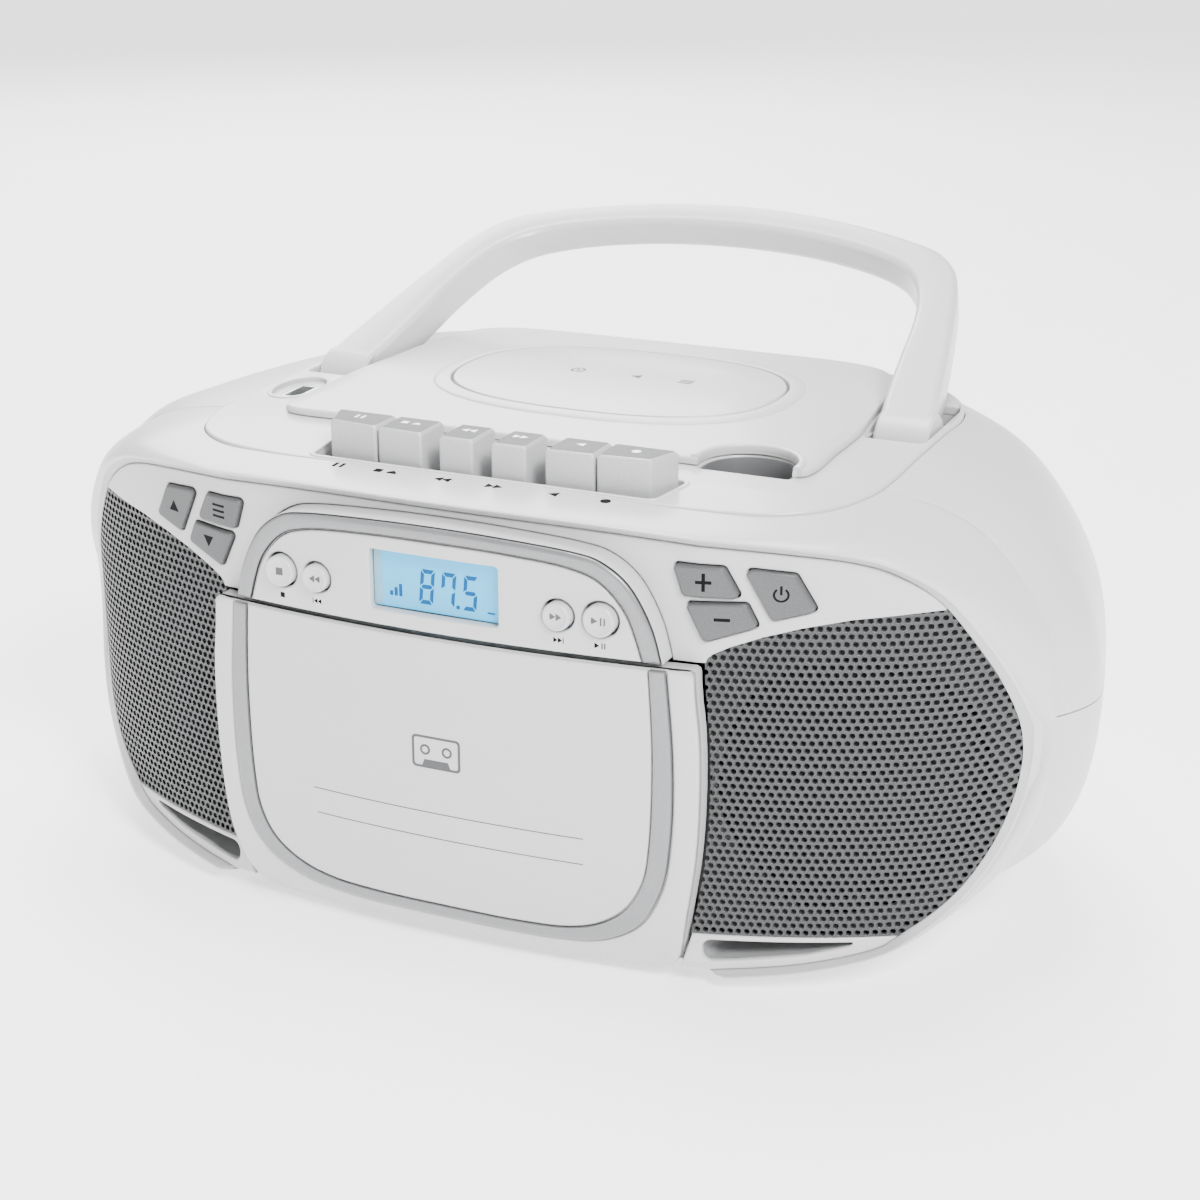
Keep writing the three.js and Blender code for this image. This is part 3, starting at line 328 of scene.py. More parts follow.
def lathe(bm, profile, origin, axis="z", seg=48, turn=0.0, mat=0):
    """Turned form about an axis; the profile may start and end on the axis."""
    rows = []
    for r, h in profile:
        row = []
        for i in range(1 if r < 1e-6 else seg):
            a = 2 * math.pi * i / seg
            u, v = r * math.cos(a), r * math.sin(a)
            p = {"x": (h, u, v), "y": (u, h, v), "z": (u, v, h)}[axis]
            if turn:
                c, s = math.cos(turn), math.sin(turn)
                p = (p[0] * c - p[1] * s, p[0] * s + p[1] * c, p[2])
            row.append(bm.verts.new((p[0] + origin[0], p[1] + origin[1], p[2] + origin[2])))
        rows.append(row)
    open_ends = profile[0][0] < 1e-6
    for k in range(len(rows) - 1 if open_ends else len(rows)):
        a, b = rows[k], rows[(k + 1) % len(rows)]
        for i in range(seg):
            j = (i + 1) % seg
            q = [a[i % len(a)], a[j % len(a)], b[j % len(b)], b[i % len(b)]]
            q = [v for t, v in enumerate(q) if v not in q[:t]]
            if len(q) > 2:
                f = bm.faces.new(q)
                f.material_index = mat


def boolean(target, tools, op="DIFFERENCE"):
    for t in tools:
        mod = target.modifiers.new("cut", "BOOLEAN")
        mod.object = t
        mod.operation = op
        mod.solver = "EXACT"
    dg = bpy.context.evaluated_depsgraph_get()
    me = bpy.data.meshes.new_from_object(target.evaluated_get(dg))
    target.modifiers.clear()
    old = target.data
    target.data = me
    bpy.data.meshes.remove(old)
    for t in tools:
        bpy.data.objects.remove(t)
    me.polygons.foreach_set("use_smooth", [True] * len(me.polygons))
    me.set_sharp_from_angle(angle=math.radians(28))
    return target


def tool(make):
    bm = bmesh.new()
    make(bm)
    return build("tool", bm, [LIP_PAINTED_SHADE], None)


def block(bm, x0, x1, y0, y1, z0, z1):
    loft(bm, [[(x0, y0, z), (x1, y0, z), (x1, y1, z), (x0, y1, z)] for z in (z0, z1)])


def plate(name, parts, mat, body, replaces, place=to_world, cuts=()):
    """Piece made of plates, each given as outlines and profile, with the cuts that let it follow a surface."""
    bm = bmesh.new()
    for loops, prof in parts:
        solid_plate(bm, loops, prof)
    for axis, values in cuts:
        slices(bm, axis, values)
    return build(name, bm, [mat], body, replaces, place=place)


def turned(name, parts, mat, body, replaces):
    """Piece made of turned forms, each given as what lathe takes."""
    bm = bmesh.new()
    for part in parts:
        lathe(bm, *part)
    return build(name, bm, [mat], body, replaces)


# ---------------------------------------------------------------- surfaces of the front
FACE_Y = -4.3


def wing(x):
    t = min(abs(x) / 163, 0.9995)
    return -3.4 + 70 * (1 - (1 - t ** 1.75) ** (1 / 1.75))


def panel_y(x):
    t = abs(x) / 77
    return 4.2 + (wing(77) - 4.2) * t * t if t < 1 else wing(x)


def face_y(x):
    return FACE_Y + x * x / 1024


def sweep(z):
    return 11 * ((32 - z) / 32) ** 2 if z < 32 else 0.0


def on_panel(p):
    return to_world((p[0], panel_y(p[0]) - p[2], p[1]))


def on_face(p):
    return to_world((p[0], face_y(p[0]) - p[2], p[1]))


def on_door(p):
    return to_world((p[0], face_y(p[0]) + sweep(p[1]) - p[2], p[1]))


def ease(t):
    t = min(max(t, 0), 1)
    return t * t * (3 - 2 * t)


# ---------------------------------------------------------------- cabinet shells
HALF, PART_Y, PART_SX, WALL, SEAM = 175, 65, 0.955, 2.6, 79.7
TOP, BASE, DECK, REAR = 143, 3.4, 142.8, 200
MID_Z, HALF_Z = 73, 68  # middle of the body in height, and half its height
body_half = [
    (0, TOP), (60, TOP), (111, TOP - 1), (123, TOP - 1.9), (136, TOP - 4.4), (148, TOP - 9.5), (157, TOP - 17),
    (165, TOP - 27), (170.4, TOP - 37), (173.6, TOP - 48), (175, 79), (174.4, 62), (171, 46), (164, 32),
    (152, 20.5), (136, 12), (115, 6.6), (90, 3.7), (70, BASE), (35, BASE), (0, BASE)]
lip_half = [
    (0, 141.6), (60, 141), (100, 138.6), (119, 135.9), (128.6, 132.4), (140, 124), (151, 107.5), (158, 93),
    (162.2, 78), (162.4, 62.5), (158.4, 45.4), (151.5, 31.6), (144, 22.6), (132, 13.8), (112, 8), (90, 5),
    (74, BASE + 0.4), (36, BASE + 0.3), (0, BASE + 0.3)]
N = 240
body_ring = catmull(mirror(body_half), N)
lip_ring = catmull(mirror(lip_half), N)
sign = 1 if area(lip_ring) > 0 else -1
lip_inner = offset(lip_ring, 3.0 * sign)
lip_inner = [(p[0], p[1] - 1.8 * ease((16 - q[1]) / 4)) for p, q in zip(lip_inner, lip_ring)]


def lip_y(x, z):
    under = 1 - ease((abs(x) - 76) / 12) if z < 30 else 0
    return (panel_y(x) - 3 + 2.6 * ease((abs(x) - 128) / 24)) * (1 - under) + 16 * under


deck_outline = catmull(mirror([(0, 23), (40, 23.1), (70, 23.8), (90, 28.4), (103, 39), (110, 55), (112, 70),
                               (112, 100), (112, 130), (112, 148), (108, 163), (98, 177), (84, 187), (66, 191.6),
                               (40, 192.4), (0, 192.5)]), 200)


def deck_tool():
    return tool(lambda bm: loft(bm, [[(p[0], p[1], z) for p in offset(ccw(deck_outline), -0.35)]
                                     for z in (128, 165)]))


def front_profile(i):
    a, b, c = (body_ring[i][0] * PART_SX, body_ring[i][1]), lip_ring[i], lip_inner[i]
    by = lip_y(*b)
    beside = ease((abs(b[0]) - 128) / 16)
    cy = max(by + 1.2, panel_y(c[0]) + 0.8) * (1 - beside) + (panel_y(c[0]) + 0.6) * beside
    ai = (a[0] * (1 - WALL / HALF), MID_Z + (a[1] - MID_Z) * (1 - WALL / HALF_Z))
    iy = min(cy + 3.2, PART_Y - 0.4)

    def sweep_to(p, y0, q, y1, t):
        s, k = math.sin(t * math.pi / 2), 1 - math.cos(t * math.pi / 2)
        return (q[0] + (p[0] - q[0]) * s, y1 + (y0 - y1) * k, q[1] + (p[1] - q[1]) * s)

    pts = [(a[0] * 0.9985, PART_Y, MID_Z + (a[1] - MID_Z) * 0.9985)]
    pts += [sweep_to(a, PART_Y, b, by, t) for t in (0.99, 0.95, 0.9, 0.8, 0.7, 0.6, 0.5, 0.4, 0.3, 0.2, 0.13, 0.07)]
    # soft edge, chamfer, inner wall
    bb, cc = Vector((b[0], by, b[1])), Vector((c[0], cy, c[1]))
    pts += [tuple(bb.lerp(cc, t) + Vector((0, lift, 0))) for t, lift in
            ((0.0, 0.05), (0.1, -0.12), (0.22, -0.12), (0.35, 0.0), (0.65, 0.0), (0.9, 0.0), (1.0, 0.25))]
    pts += [(c[0], iy, c[1])]
    pts += [sweep_to(ai, PART_Y, c, iy, t) for t in (0.3, 0.65)]
    pts += [(ai[0], PART_Y, ai[1])]
    return pts


# the chamfer and inner wall of the lip take the greyer material: painted shade in the recess round the panels
PAINTED_SHADE_FROM = 14
bm = bmesh.new()
loft(bm, [front_profile(i) for i in range(N)], loop=True,
     mats=lambda r, i: 1 if PAINTED_SHADE_FROM + 1 <= i <= PAINTED_SHADE_FROM + 6 else 0)
front_shell = build("front_shell", bm, [WHITE, LIP_PAINTED_SHADE], None)
boolean(front_shell, [deck_tool()])
bind(front_shell, "cabinet", ["front_cabinet"])

# sections of the rear: place, width and height as shares of the widest section
rear_spec = [(65.3, PART_SX, 1), (74, 0.984, 1), (84, 1, 1), (97, 0.992, 1), (120, 0.966, 1), (142, 0.925, 1),
             (160, 0.87, 1), (176, 0.78, 0.995), (188, 0.68, 0.985), (196, 0.6, 0.96), (200, 0.55, 0.93)]
rear_path = catmull([(y, 100 * sx, 100 * sz) for y, sx, sz in rear_spec], 44, closed=False)


def ring_at(y, sx, sz):
    return [(p[0] * sx, y, MID_Z + (p[1] - MID_Z) * sz) for p in body_ring]


rear_rings = [ring_at(65.3, PART_SX - 0.0015, 0.9985)]
rear_rings += [ring_at(y + (0.2 if k == 0 else 0), sx / 100, sz / 100) for k, (y, sx, sz) in enumerate(rear_path)]
y_end, sx_end, sz_end = rear_path[-1]
rear_rings[-1] = ring_at(y_end - 0.5, sx_end / 100, sz_end / 100)
rear_rings.append(ring_at(y_end - 0.1, sx_end / 100 - 0.006, sz_end / 100 - 0.009))
rear_rings.append(ring_at(y_end, sx_end / 100 - 0.016, sz_end / 100 - 0.022))
kx, kz = 1 - WALL / HALF, 1 - WALL / HALF_Z
inner_rings = [ring_at(60, kx * PART_SX, kz)]
inner_rings += [ring_at(y, sx / 100 * kx, sz / 100 * kz) for y, sx, sz in rear_path[1:-6:3]]
inner_rings.append(ring_at(REAR - WALL, 0.565, 0.9))


def box_tool(*sides):
    return tool(lambda bm: block(bm, *sides))


def slot_tool(x0, x1, z0, z1, depth=6.0, r=1.0):
    return tool(lambda bm: loft(bm, [[(p[0], y, p[1]) for p in rect(x0, x1, z0, z1, r, 5)]
                                     for y in (REAR - depth, REAR + 6)]))


def hole_tool(x, z, r, depth):
    return tool(lambda bm: lathe(bm, [(0, REAR - depth), (r, REAR - depth), (r, REAR + 5), (0, REAR + 5)],
                                 (x, 0, z), "y", 28))


def under_tool(x, y, r, depth):
    return tool(lambda bm: lathe(bm, [(0, -2), (r, -2), (r, BASE + depth), (0, BASE + depth)], (x, y, 0), "z", 28))


for name, node, cutters in (
    ("rear_shell", "rear_cabinet",
     [deck_tool(), box_tool(-220, 220, 20, 260, -20, SEAM + 0.25)]
     + [slot_tool(x - 8, x + 8, z - 0.9, z + 0.9) for x in (-30, 0, 30) for z in (92, 97, 102, 107)]
     + [hole_tool(x, 116, 3.6, 2.2) for x in (-76, 76)]),
    ("lower_shell", "lower_cabinet",
     [box_tool(-220, 220, 20, 260, SEAM - 0.25, 220), slot_tool(-56.5, 56.5, 15, 71, 8, 0.8),
      slot_tool(65, 87, 28, 42, 8, 0.8)]
     + [hole_tool(x, z, 3.6, 2.2) for x, z in ((-78, 66), (78, 62))]
     + [under_tool(x, y, 3.4, 2.0) for x in (-96, 0, 96) for y in (84, 172) if not (x == 0 and y == 172)])):
    bm = bmesh.new()
    loft(bm, rear_rings)
    shell = build(name, bm, [WHITE], None)
    bm = bmesh.new()
    loft(bm, inner_rings)
    boolean(shell, [build("tool", bm, [WHITE], None)] + cutters)
    bind(shell, "cabinet", [node])

# screws sunk in the rear
screw = [(0, REAR - 2.0), (0.9, REAR - 2.0), (0.9, REAR - 0.9), (2.6, REAR - 0.8), (2.9, REAR - 1.4),
         (2.9, REAR - 2.1), (0, REAR - 2.15)]
turned("rear_screws", [(screw, (x, 0, z), "y", 24) for x, z in ((-76, 116), (76, 116), (-78, 66), (78, 62))],
       STEEL, "cabinet", ())

# ---------------------------------------------------------------- front panels
SIDES = (("left", -1), ("right", 1))
PANEL_FRONT, PANEL_THICK = -0.3, 2.6
arch_out = catmull(arc_mirror([(69.6, 103.6), (66.4, 115), (59.4, 127), (51, 132.8), (43.5, 134.4), (22, 135.9),
                               (0, 136.4)]), 90, closed=False)
arch_in = catmull(arc_mirror([(63.8, 103.6), (58.8, 117.6), (51, 126.2), (42.4, 129.2), (22, 131), (0, 131.4)]), 90,
                  closed=False)
grille_top = [(81.0, 105.3), (85.6, 107.7), (94.5, 111.1), (104.7, 114.0), (117.2, 116.5), (129, 117.6),
              (137, 118.3), (146, 118.6)]
GRILLE_TOP_END = 145.9
near_quad = [(69.8, 132), (84, 131.7), (88.8, 122.7), (72.8, 122.7)]
far_quad = [(89.2, 131.5), (102.8, 130.2), (108.6, 119.5), (97, 116.4)]
low_quad = [(73.4, 120.8), (90.2, 121.2), (93.4, 114.4), (79, 109.4)]
side_buttons = {name: (mark, [(s * x, z) for x, z in quad]) for name, mark, s, quad in (
    ("program_button", "list", -1, near_quad), ("folder_up_button", "up", -1, far_quad),
    ("folder_down_button", "down", -1, low_quad), ("volume_up_button", "plus", 1, near_quad),
    ("function_button", "minus", 1, low_quad), ("volume_down_button", "power", 1, far_quad))}


def cross_height(points, x):
    """Height of a rising line of points at x."""
    for a, b in zip(points, points[1:]):
        if a[0] <= x <= b[0]:
            return a[1] + (b[1] - a[1]) * (x - a[0]) / (b[0] - a[0])
    return 0


def thinned(loop, least):
    """Drops the points closer than a distance to the last one kept."""
    out = [loop[0]]
    for p in loop[1:]:
        if math.dist(p, out[-1]) > least:
            out.append(p)
    return out


inner = offset(ccw(lip_inner), 0.15)
upper_right = sorted([p for p in inner if p[0] >= 0 and p[1] > 100], key=lambda p: p[0] - p[1])
upper_right = [p for p in upper_right
               if p[0] < 120 or p[1] > cross_height(grille_top, min(p[0], GRILLE_TOP_END)) + 0.3]
end_x = upper_right[-1][0]
right_side = upper_right + [(end_x - 0.2, cross_height(grille_top, min(end_x - 0.2, GRILLE_TOP_END)) + 0.05)]
right_side += [p for p in reversed(grille_top) if p[0] < end_x - 0.4] + [(79.6, 104.0), (79.2, 102.7), (69.95, 102.7)]
top_loop = right_side + [(p[0] * 1.004, p[1] + 0.3) for p in arch_out[1:-1]]
top_loop += [(-p[0], p[1]) for p in reversed(right_side) if p[0] > 1e-6]
button_holes = [fillet(offset(ccw(q), -0.35), 1.5, 5) for mark, q in side_buttons.values()]
plate("upper_panel", [([thinned(top_loop, 0.12)] + button_holes, rounded(PANEL_FRONT, PANEL_THICK, 0.5))], PANEL,
      "cabinet", ["front_baffle"], on_panel, [(0, steps(-150, 150, 2.5))])

lower = sorted([p for p in inner if p[0] > 80.4 and p[1] < 16.9 and p[0] < 140], key=lambda p: p[0])
port = fillet([(79.2, 15.4), (79.7, 8.3), (90, 9.2), (108, 11.4), (119.5, 14.1), (121.5, 15.6)],
              [2.8, 2.8, 8, 14, 1.0, 0.6], 5)
# the duct behind the port is pinched towards its rear: size of the section and its height
DUCT_ROWS = [(1.0, -2.0), (1.0, -4.0), (0.93, -9.0), (0.86, -16.0), (0.80, -20.0)]
for side, s in SIDES:
    loop = [(76.6, 17.2), (75.1, 12), (73.6, 7), (73.2, 5.9)] + lower + [(lower[-1][0] + 0.3, 17.2)]
    loops = [[(s * p[0], p[1]) for p in q] for q in (loop, port)]
    plate(f"{side}_port_panel", [(loops, rounded(PANEL_FRONT, PANEL_THICK, 0.7))], PANEL, "cabinet", (),
          on_panel, [(0, steps(-140, -80, 2.5) if s < 0 else steps(80, 140, 2.5))])
    bm = bmesh.new()
    duct = ccw([(s * p[0], p[1]) for p in port])
    cx, cz = sum(p[0] for p in duct) / len(duct), sum(p[1] for p in duct) / len(duct)
    rows = [[(cx + (p[0] - cx) * k, cz + (p[1] - cz) * k, h) for p in duct] for k, h in DUCT_ROWS]
    rows += [[(p[0], p[1], h) for p in offset(duct, -1.2)] for h in (-21.5, -3.0)]
    loft(bm, rows, closed_ends=False)
    # the duct walls are a darker grey than the panel: painted shade inside the port
    build(f"{side}_port_duct", bm, [DUCT_PAINTED_SHADE], "cabinet", (), place=on_panel)

# ---------------------------------------------------------------- speaker grilles
lip_right = sorted([p for p in ccw(lip_inner) if p[0] > 79 and 16 < p[1] < 119.2], key=lambda p: p[1])
door_side = [(78.9, 105.0), (79.1, 97), (79.5, 92), (80.6, 80), (81.0, 66), (80.75, 52), (79.7, 38), (78.0, 26),
             (76.0, 16.6)]
grille_region = [(76.0, 16.6), (lip_right[0][0], 16.6)] + lip_right[::3] + [(lip_right[-1][0], 119)]
grille_region += [p for p in reversed(grille_top) if p[0] < lip_right[-1][0]] + [(80.6, 105.2)] + door_side[:-1]


def edge_distance(p, a, b):
    d = (b[0] - a[0], b[1] - a[1])
    k = max(0, min(1, ((p[0] - a[0]) * d[0] + (p[1] - a[1]) * d[1]) / max(d[0] ** 2 + d[1] ** 2, 1e-9)))
    return math.hypot(p[0] - a[0] - d[0] * k, p[1] - a[1] - d[1] * k)


def depth_inside(p, poly):
    """Distance to the outline, negative outside it."""
    ok = False
    for i, a in enumerate(poly):
        b = poly[i - 1]
        if (a[1] > p[1]) != (b[1] > p[1]) and p[0] < (b[0] - a[0]) * (p[1] - a[1]) / (b[1] - a[1]) + a[0]:
            ok = not ok
    nearest = min(edge_distance(p, poly[i - 1], poly[i]) for i in range(len(poly)))
    return nearest if ok else -nearest


PITCH, ROW, HOLE = 2.3, 2.32, 0.74  # between holes across, between rows, radius of a hole
CELL_REACH = math.hypot(PITCH, ROW) / 2
# the dished rim of a hole: radius and height of each ring
RIM = ((1.06, 0.0), (0.94, 0.1), (0.84, 0.04), (HOLE, -0.2), (HOLE, -0.8))


def cell(bm, cx, cy):
    """One punched hole with its dished rim, in a brick-shaped tile."""
    w, h = PITCH / 2, ROW / 2
    edge = [(w, 0), (w, h), (0, h), (-w, h), (-w, 0), (-w, -h), (0, -h), (w, -h)]
    tile = []
    for a, b in zip(edge, edge[1:] + edge[:1]):
        tile += [a, ((a[0] + b[0]) / 2, (a[1] + b[1]) / 2)]
    rows = [[(cx + x, cy + y, 0.0) for x, y in tile]]
    for r, d in RIM:
        rows.append([(cx + r * math.cos(math.pi / 8 * k), cy + r * math.sin(math.pi / 8 * k), d) for k in range(16)])
    loft(bm, rows, closed_ends=False)


def trim_by(bm, geom, a, b):
    """Cuts away what lies to the right of the line from a to b."""
    bmesh.ops.bisect_plane(bm, geom=geom, dist=1e-5, plane_co=(a[0], a[1], 0),
                           plane_no=(b[1] - a[1], a[0] - b[0], 0), clear_outer=True)


def side_at(z):
    """Where the grille starts beside the door at a height."""
    for a, b in zip(door_side, door_side[1:]):
        if b[1] <= z <= a[1]:
            return b[0] + (a[0] - b[0]) * (z - b[1]) / (a[1] - b[1])
    return door_side[0][0] if z > door_side[0][1] else door_side[-1][0]


def hull(points):
    pts = sorted(set((round(x, 4), round(y, 4)) for x, y in points))

    def half(seq):
        out = []
        for p in seq:
            while len(out) > 1 and ((out[-1][0] - out[-2][0]) * (p[1] - out[-2][1])
                                    - (out[-1][1] - out[-2][1]) * (p[0] - out[-2][0])) <= 0:
                out.pop()
            out.append(p)
        return out[:-1]

    return half(pts) + half(pts[::-1])


def merge(bm, other):
    """Adds the faces of another bmesh, which is freed."""
    tmp = bpy.data.meshes.new("t")
    other.to_mesh(tmp)
    other.free()
    bm.from_mesh(tmp)
    bpy.data.meshes.remove(tmp)


region = hull(grille_region)
basket = [(0, 36), (21, 36), (22, 35), (22, 20), (30, 18), (41, 4), (43.6, 3), (44, 2.6), (44, 0.5), (43.5, 0),
          (40.3, 0), (40, 0.4), (40, 3.2), (29, 15), (12, 16), (0, 16)]
cone = [(0, 5.5), (3, 5.8), (6, 6.7), (8.4, 8.4), (9, 9), (9.6, 8.6), (22, 5), (34, 0.8), (35.5, 0.4), (36.3, -0.4),
        (37.3, -0.8), (38.3, -0.4), (39.2, 0.3), (39.2, 1), (36, 1.8), (10, 10.4), (0, 10.4)]
for side, s in SIDES:
    # whole holes in one mesh, and those that the outline crosses in another, which is cut back to it
    bm, border = bmesh.new(), bmesh.new()
    row = 0
    y = 14.0
    while y < 121:
        x = 73.4 + (PITCH / 2 if row % 2 else 0)
        while x < 164:
            d = min(depth_inside((x, y), region), x - side_at(y))
            if d > -CELL_REACH:
                cell(bm if d > CELL_REACH else border, x, y)
            x += PITCH
        y += ROW
        row += 1
    outline = ccw(region)
    for a, b in zip(outline, outline[1:] + outline[:1]):
        if math.dist(a, b) >= 0.05:
            trim_by(border, border.verts[:] + border.edges[:] + border.faces[:], a, b)
    slices(border, 1, [q[1] for q in door_side[1:-1]])
    for a, b in zip(door_side, door_side[1:]):
        keep = [v for v in border.verts if v.co.x < side_at(v.co.y) + 4 and b[1] - 0.01 <= v.co.y <= a[1] + 0.01]
        faces = dict.fromkeys(f for v in keep for f in v.link_faces if b[1] <= f.calc_center_median().y <= a[1])
        geom = [*dict.fromkeys(v for f in faces for v in f.verts), *dict.fromkeys(e for f in faces for e in f.edges),
                *faces]
        if geom:
            trim_by(border, geom, a, b)
    merge(bm, border)
    bmesh.ops.remove_doubles(bm, verts=bm.verts[:], dist=0.01)
    if s < 0:
        for v in bm.verts:
            v.co.x = -v.co.x
    build(f"{side}_punched_grille", bm, [MESH], "cabinet", [f"{side}_grille"], sharp=50,
          place=lambda p: to_world((p[0], panel_y(p[0]) + 0.9 - p[2], p[1])))
    # dark sheet behind the holes, round the speaker: painted shade standing in for the dark inside of the cabinet
    shade_sheet = [[(s * p[0], p[1]) for p in offset(ccw(region), 0.6)], ellipse(s * 117, 64, 37, 40, 48)]
    plate(f"{side}_grille_shade_sheet", [(shade_sheet, [(0, -4.6), (0, -4.0)])], DARK_AND_PAINTED_SHADE, "cabinet", (), on_panel,
          [(0, sorted(s * v for v in steps(81, 162, 3)))])
    # speaker behind the grille
    lie = ((s * 116, panel_y(116) + 14, 64), "y", 64, s * math.radians(29))
    turned(f"{side}_speaker_frame", [(basket, *lie)], FRAME, "cabinet", [f"{side}_speaker_basket"])
    turned(f"{side}_speaker_diaphragm", [(cone, *lie)], CONE, f"{side}_cone", [f"{side}_speaker_cone"])

# ---------------------------------------------------------------- display
# round buttons: position, radius, icon
rounds = {"stop_button": (-51.7, 115.2, 4.8, "stop"), "skip_back_button": (-39.1, 115, 4.2, "prev"),
          "skip_forward_button": (39.1, 115, 4.2, "next"), "play_pause_button": (51.7, 115.2, 4.8, "playpause")}
openings = [rect(-20.8, 20.8, 108.7, 127, 1.2)] + [ellipse(x, z, r + 0.75, r + 0.75) for x, z, r, k in rounds.values()]
plate("display_fascia", [([offset(ccw(arch_in), 0.3)] + openings, rounded(0, 3.3, 0.6))], PANEL, "cabinet",
      ["display_panel"], on_face, [(0, steps(-62, 62, 3))])
bm = bmesh.new()
# the ledge behind the front of the trim (steps 3 and 4) takes the dark material: a painted shade line round the arch
solid_plate(bm, [arch_out + arch_in[::-1]], [(0.3, -11.4), (0, -11.0), (0, -0.9), (0.12, -0.75), (0.5, -0.75),
                                             (0.5, -0.3), (0.6, 0.0), (0.85, 0.22), (1.5, 0.5), (1.9, 0.62)],
            mat_steps=[1, 1, 1, 2, 2, 0, 0, 0, 0])
slices(bm, 0, steps(-69, 69, 3))
build("display_arch", bm, [SILVER, PANEL, DARK_AND_PAINTED_SHADE], "cabinet", ["display_trim"], place=on_face)
LCD_X, LCD_Z0, LCD_Z1 = 20.4, 109.1, 126.6


def on_lens(p):
    return to_world((p[0], FACE_Y - p[2], p[1]))


plate("lcd_panel", [([rect(-LCD_X, LCD_X, LCD_Z0, LCD_Z1, 1.0)], [(0.2, -5.8), (0, -5.6), (0, -3.0), (0.2, -2.8)])],
      LCD, "cabinet", ["lcd_window"], on_lens)
# darker band on the left edge of the display: painted shadow of the frame
plate("lcd_shadow_band", [([[(-LCD_X + 0.1, LCD_Z0 + 0.3), (-LCD_X + 2.6, LCD_Z0 + 0.9), (-LCD_X + 2.6, LCD_Z1 - 0.3),
                        (-LCD_X + 0.1, LCD_Z1 - 0.3)]], [(0, -2.79), (0, -2.74)])],
      LCD_PAINTED_SHADOW, "cabinet", (), on_lens)

SEGS = {"a": [(0.12, 1.9), (0.88, 1.9), (0.72, 1.68), (0.28, 1.68)],
        "d": [(0.28, 0.22), (0.72, 0.22), (0.88, 0.0), (0.12, 0.0)],
        "g": [(0.14, 0.95), (0.26, 1.06), (0.74, 1.06), (0.86, 0.95), (0.74, 0.84), (0.26, 0.84)],
        "f": [(0.05, 1.82), (0.26, 1.62), (0.26, 1.14), (0.05, 1.0)],
        "b": [(0.95, 1.82), (0.74, 1.62), (0.74, 1.14), (0.95, 1.0)],
        "e": [(0.05, 0.08), (0.26, 0.28), (0.26, 0.76), (0.05, 0.9)],
        "c": [(0.95, 0.08), (0.74, 0.28), (0.74, 0.76), (0.95, 0.9)]}
figures = [[(x0 + 5.0 * (x + 0.10 * z), 111.6 + 5.6 * z) for x, z in SEGS[seg]]
           for digit, x0 in (("abcdefg", -6.0), ("abcf", 0.9), ("afgcd", 8.0)) for seg in digit]
figures.append(rect(6.4, 7.5, 111.6, 112.7, 0.25, 3))
figures += [rect(-15.2 + 1.5 * k, -14.2 + 1.5 * k, 112.8, 114.2 + 1.2 * k, 0.15, 2) for k in range(3)]
figures.append(rect(16.4, 18.8, 111.6, 112.1, 0.15, 2))
plate("lcd_digits", [([f], [(0, -2.79), (0, -2.70)]) for f in figures], DIGIT, "cabinet", (), on_lens)


# ---------------------------------------------------------------- icons
def tri(cx, cy, w, h, d=1):
    return [(cx - d * w / 2, cy - h / 2), (cx + d * w / 2, cy), (cx - d * w / 2, cy + h / 2)]


def bar(cx, cy, w, h):
    return [(cx - w / 2, cy - h / 2), (cx + w / 2, cy - h / 2), (cx + w / 2, cy + h / 2), (cx - w / 2, cy + h / 2)]


def up(cx, cy, w, h, d=1):
    return [(cx - w / 2, cy - d * h / 2), (cx + w / 2, cy - d * h / 2), (cx, cy + d * h / 2)]


def polar(points):
    return [(r * math.cos(a), r * math.sin(a)) for r, a in points]


ICONS = {
    "pause": [bar(-0.35, 0, 0.28, 1), bar(0.35, 0, 0.28, 1)],
    "stop": [bar(0, 0, 0.9, 0.9)],
    "eject": [bar(-0.95, 0, 0.9, 0.9), up(0.75, 0.18, 1.1, 0.6), bar(0.75, -0.34, 1.1, 0.2)],
    "back2": [tri(-0.42, 0, 0.8, 0.95, -1), tri(0.42, 0, 0.8, 0.95, -1)],
    "fwd2": [tri(-0.42, 0, 0.8, 0.95), tri(0.42, 0, 0.8, 0.95)],
    "back": [tri(0, 0, 0.9, 1, -1)],
    "dot": [ellipse(0, 0, 0.48, 0.48, 16)],
    "prev": [bar(-0.85, 0, 0.16, 0.9), tri(-0.35, 0, 0.7, 0.9, -1), tri(0.38, 0, 0.7, 0.9, -1)],
    "next": [bar(0.85, 0, 0.16, 0.9), tri(0.35, 0, 0.7, 0.9), tri(-0.38, 0, 0.7, 0.9)],
    "playpause": [tri(-0.5, 0, 0.8, 0.95), bar(0.3, 0, 0.2, 0.95), bar(0.72, 0, 0.2, 0.95)],
    "plus": [bar(0, 0, 1, 0.22), bar(0, 0.36, 0.22, 0.5), bar(0, -0.36, 0.22, 0.5)],
    "minus": [bar(0, 0, 1, 0.22)],
    "up": [up(0, 0, 1, 0.8)],
    "down": [up(0, 0, 1, 0.8, -1)],
    "list": [bar(0, 0.4, 1.1, 0.17), bar(0, 0, 1.1, 0.17), bar(0, -0.4, 1.1, 0.17)],
    "disc": [polar([(0.5, math.pi / 2 * k / 8 + t) for k in range(8)]
                   + [(0.34, math.pi / 2 * (7 - k) / 8 + t) for k in range(8)])
             for t in (0, math.pi / 2, math.pi, math.pi * 1.5)] + [ellipse(0, 0, 0.13, 0.13, 14)],
    "power": [polar([(0.5, math.radians(125 + 290 * k / 20)) for k in range(21)]
                    + [(0.36, math.radians(415 - 290 * k / 20)) for k in range(21)]), bar(0, 0.3, 0.15, 0.6)],
}


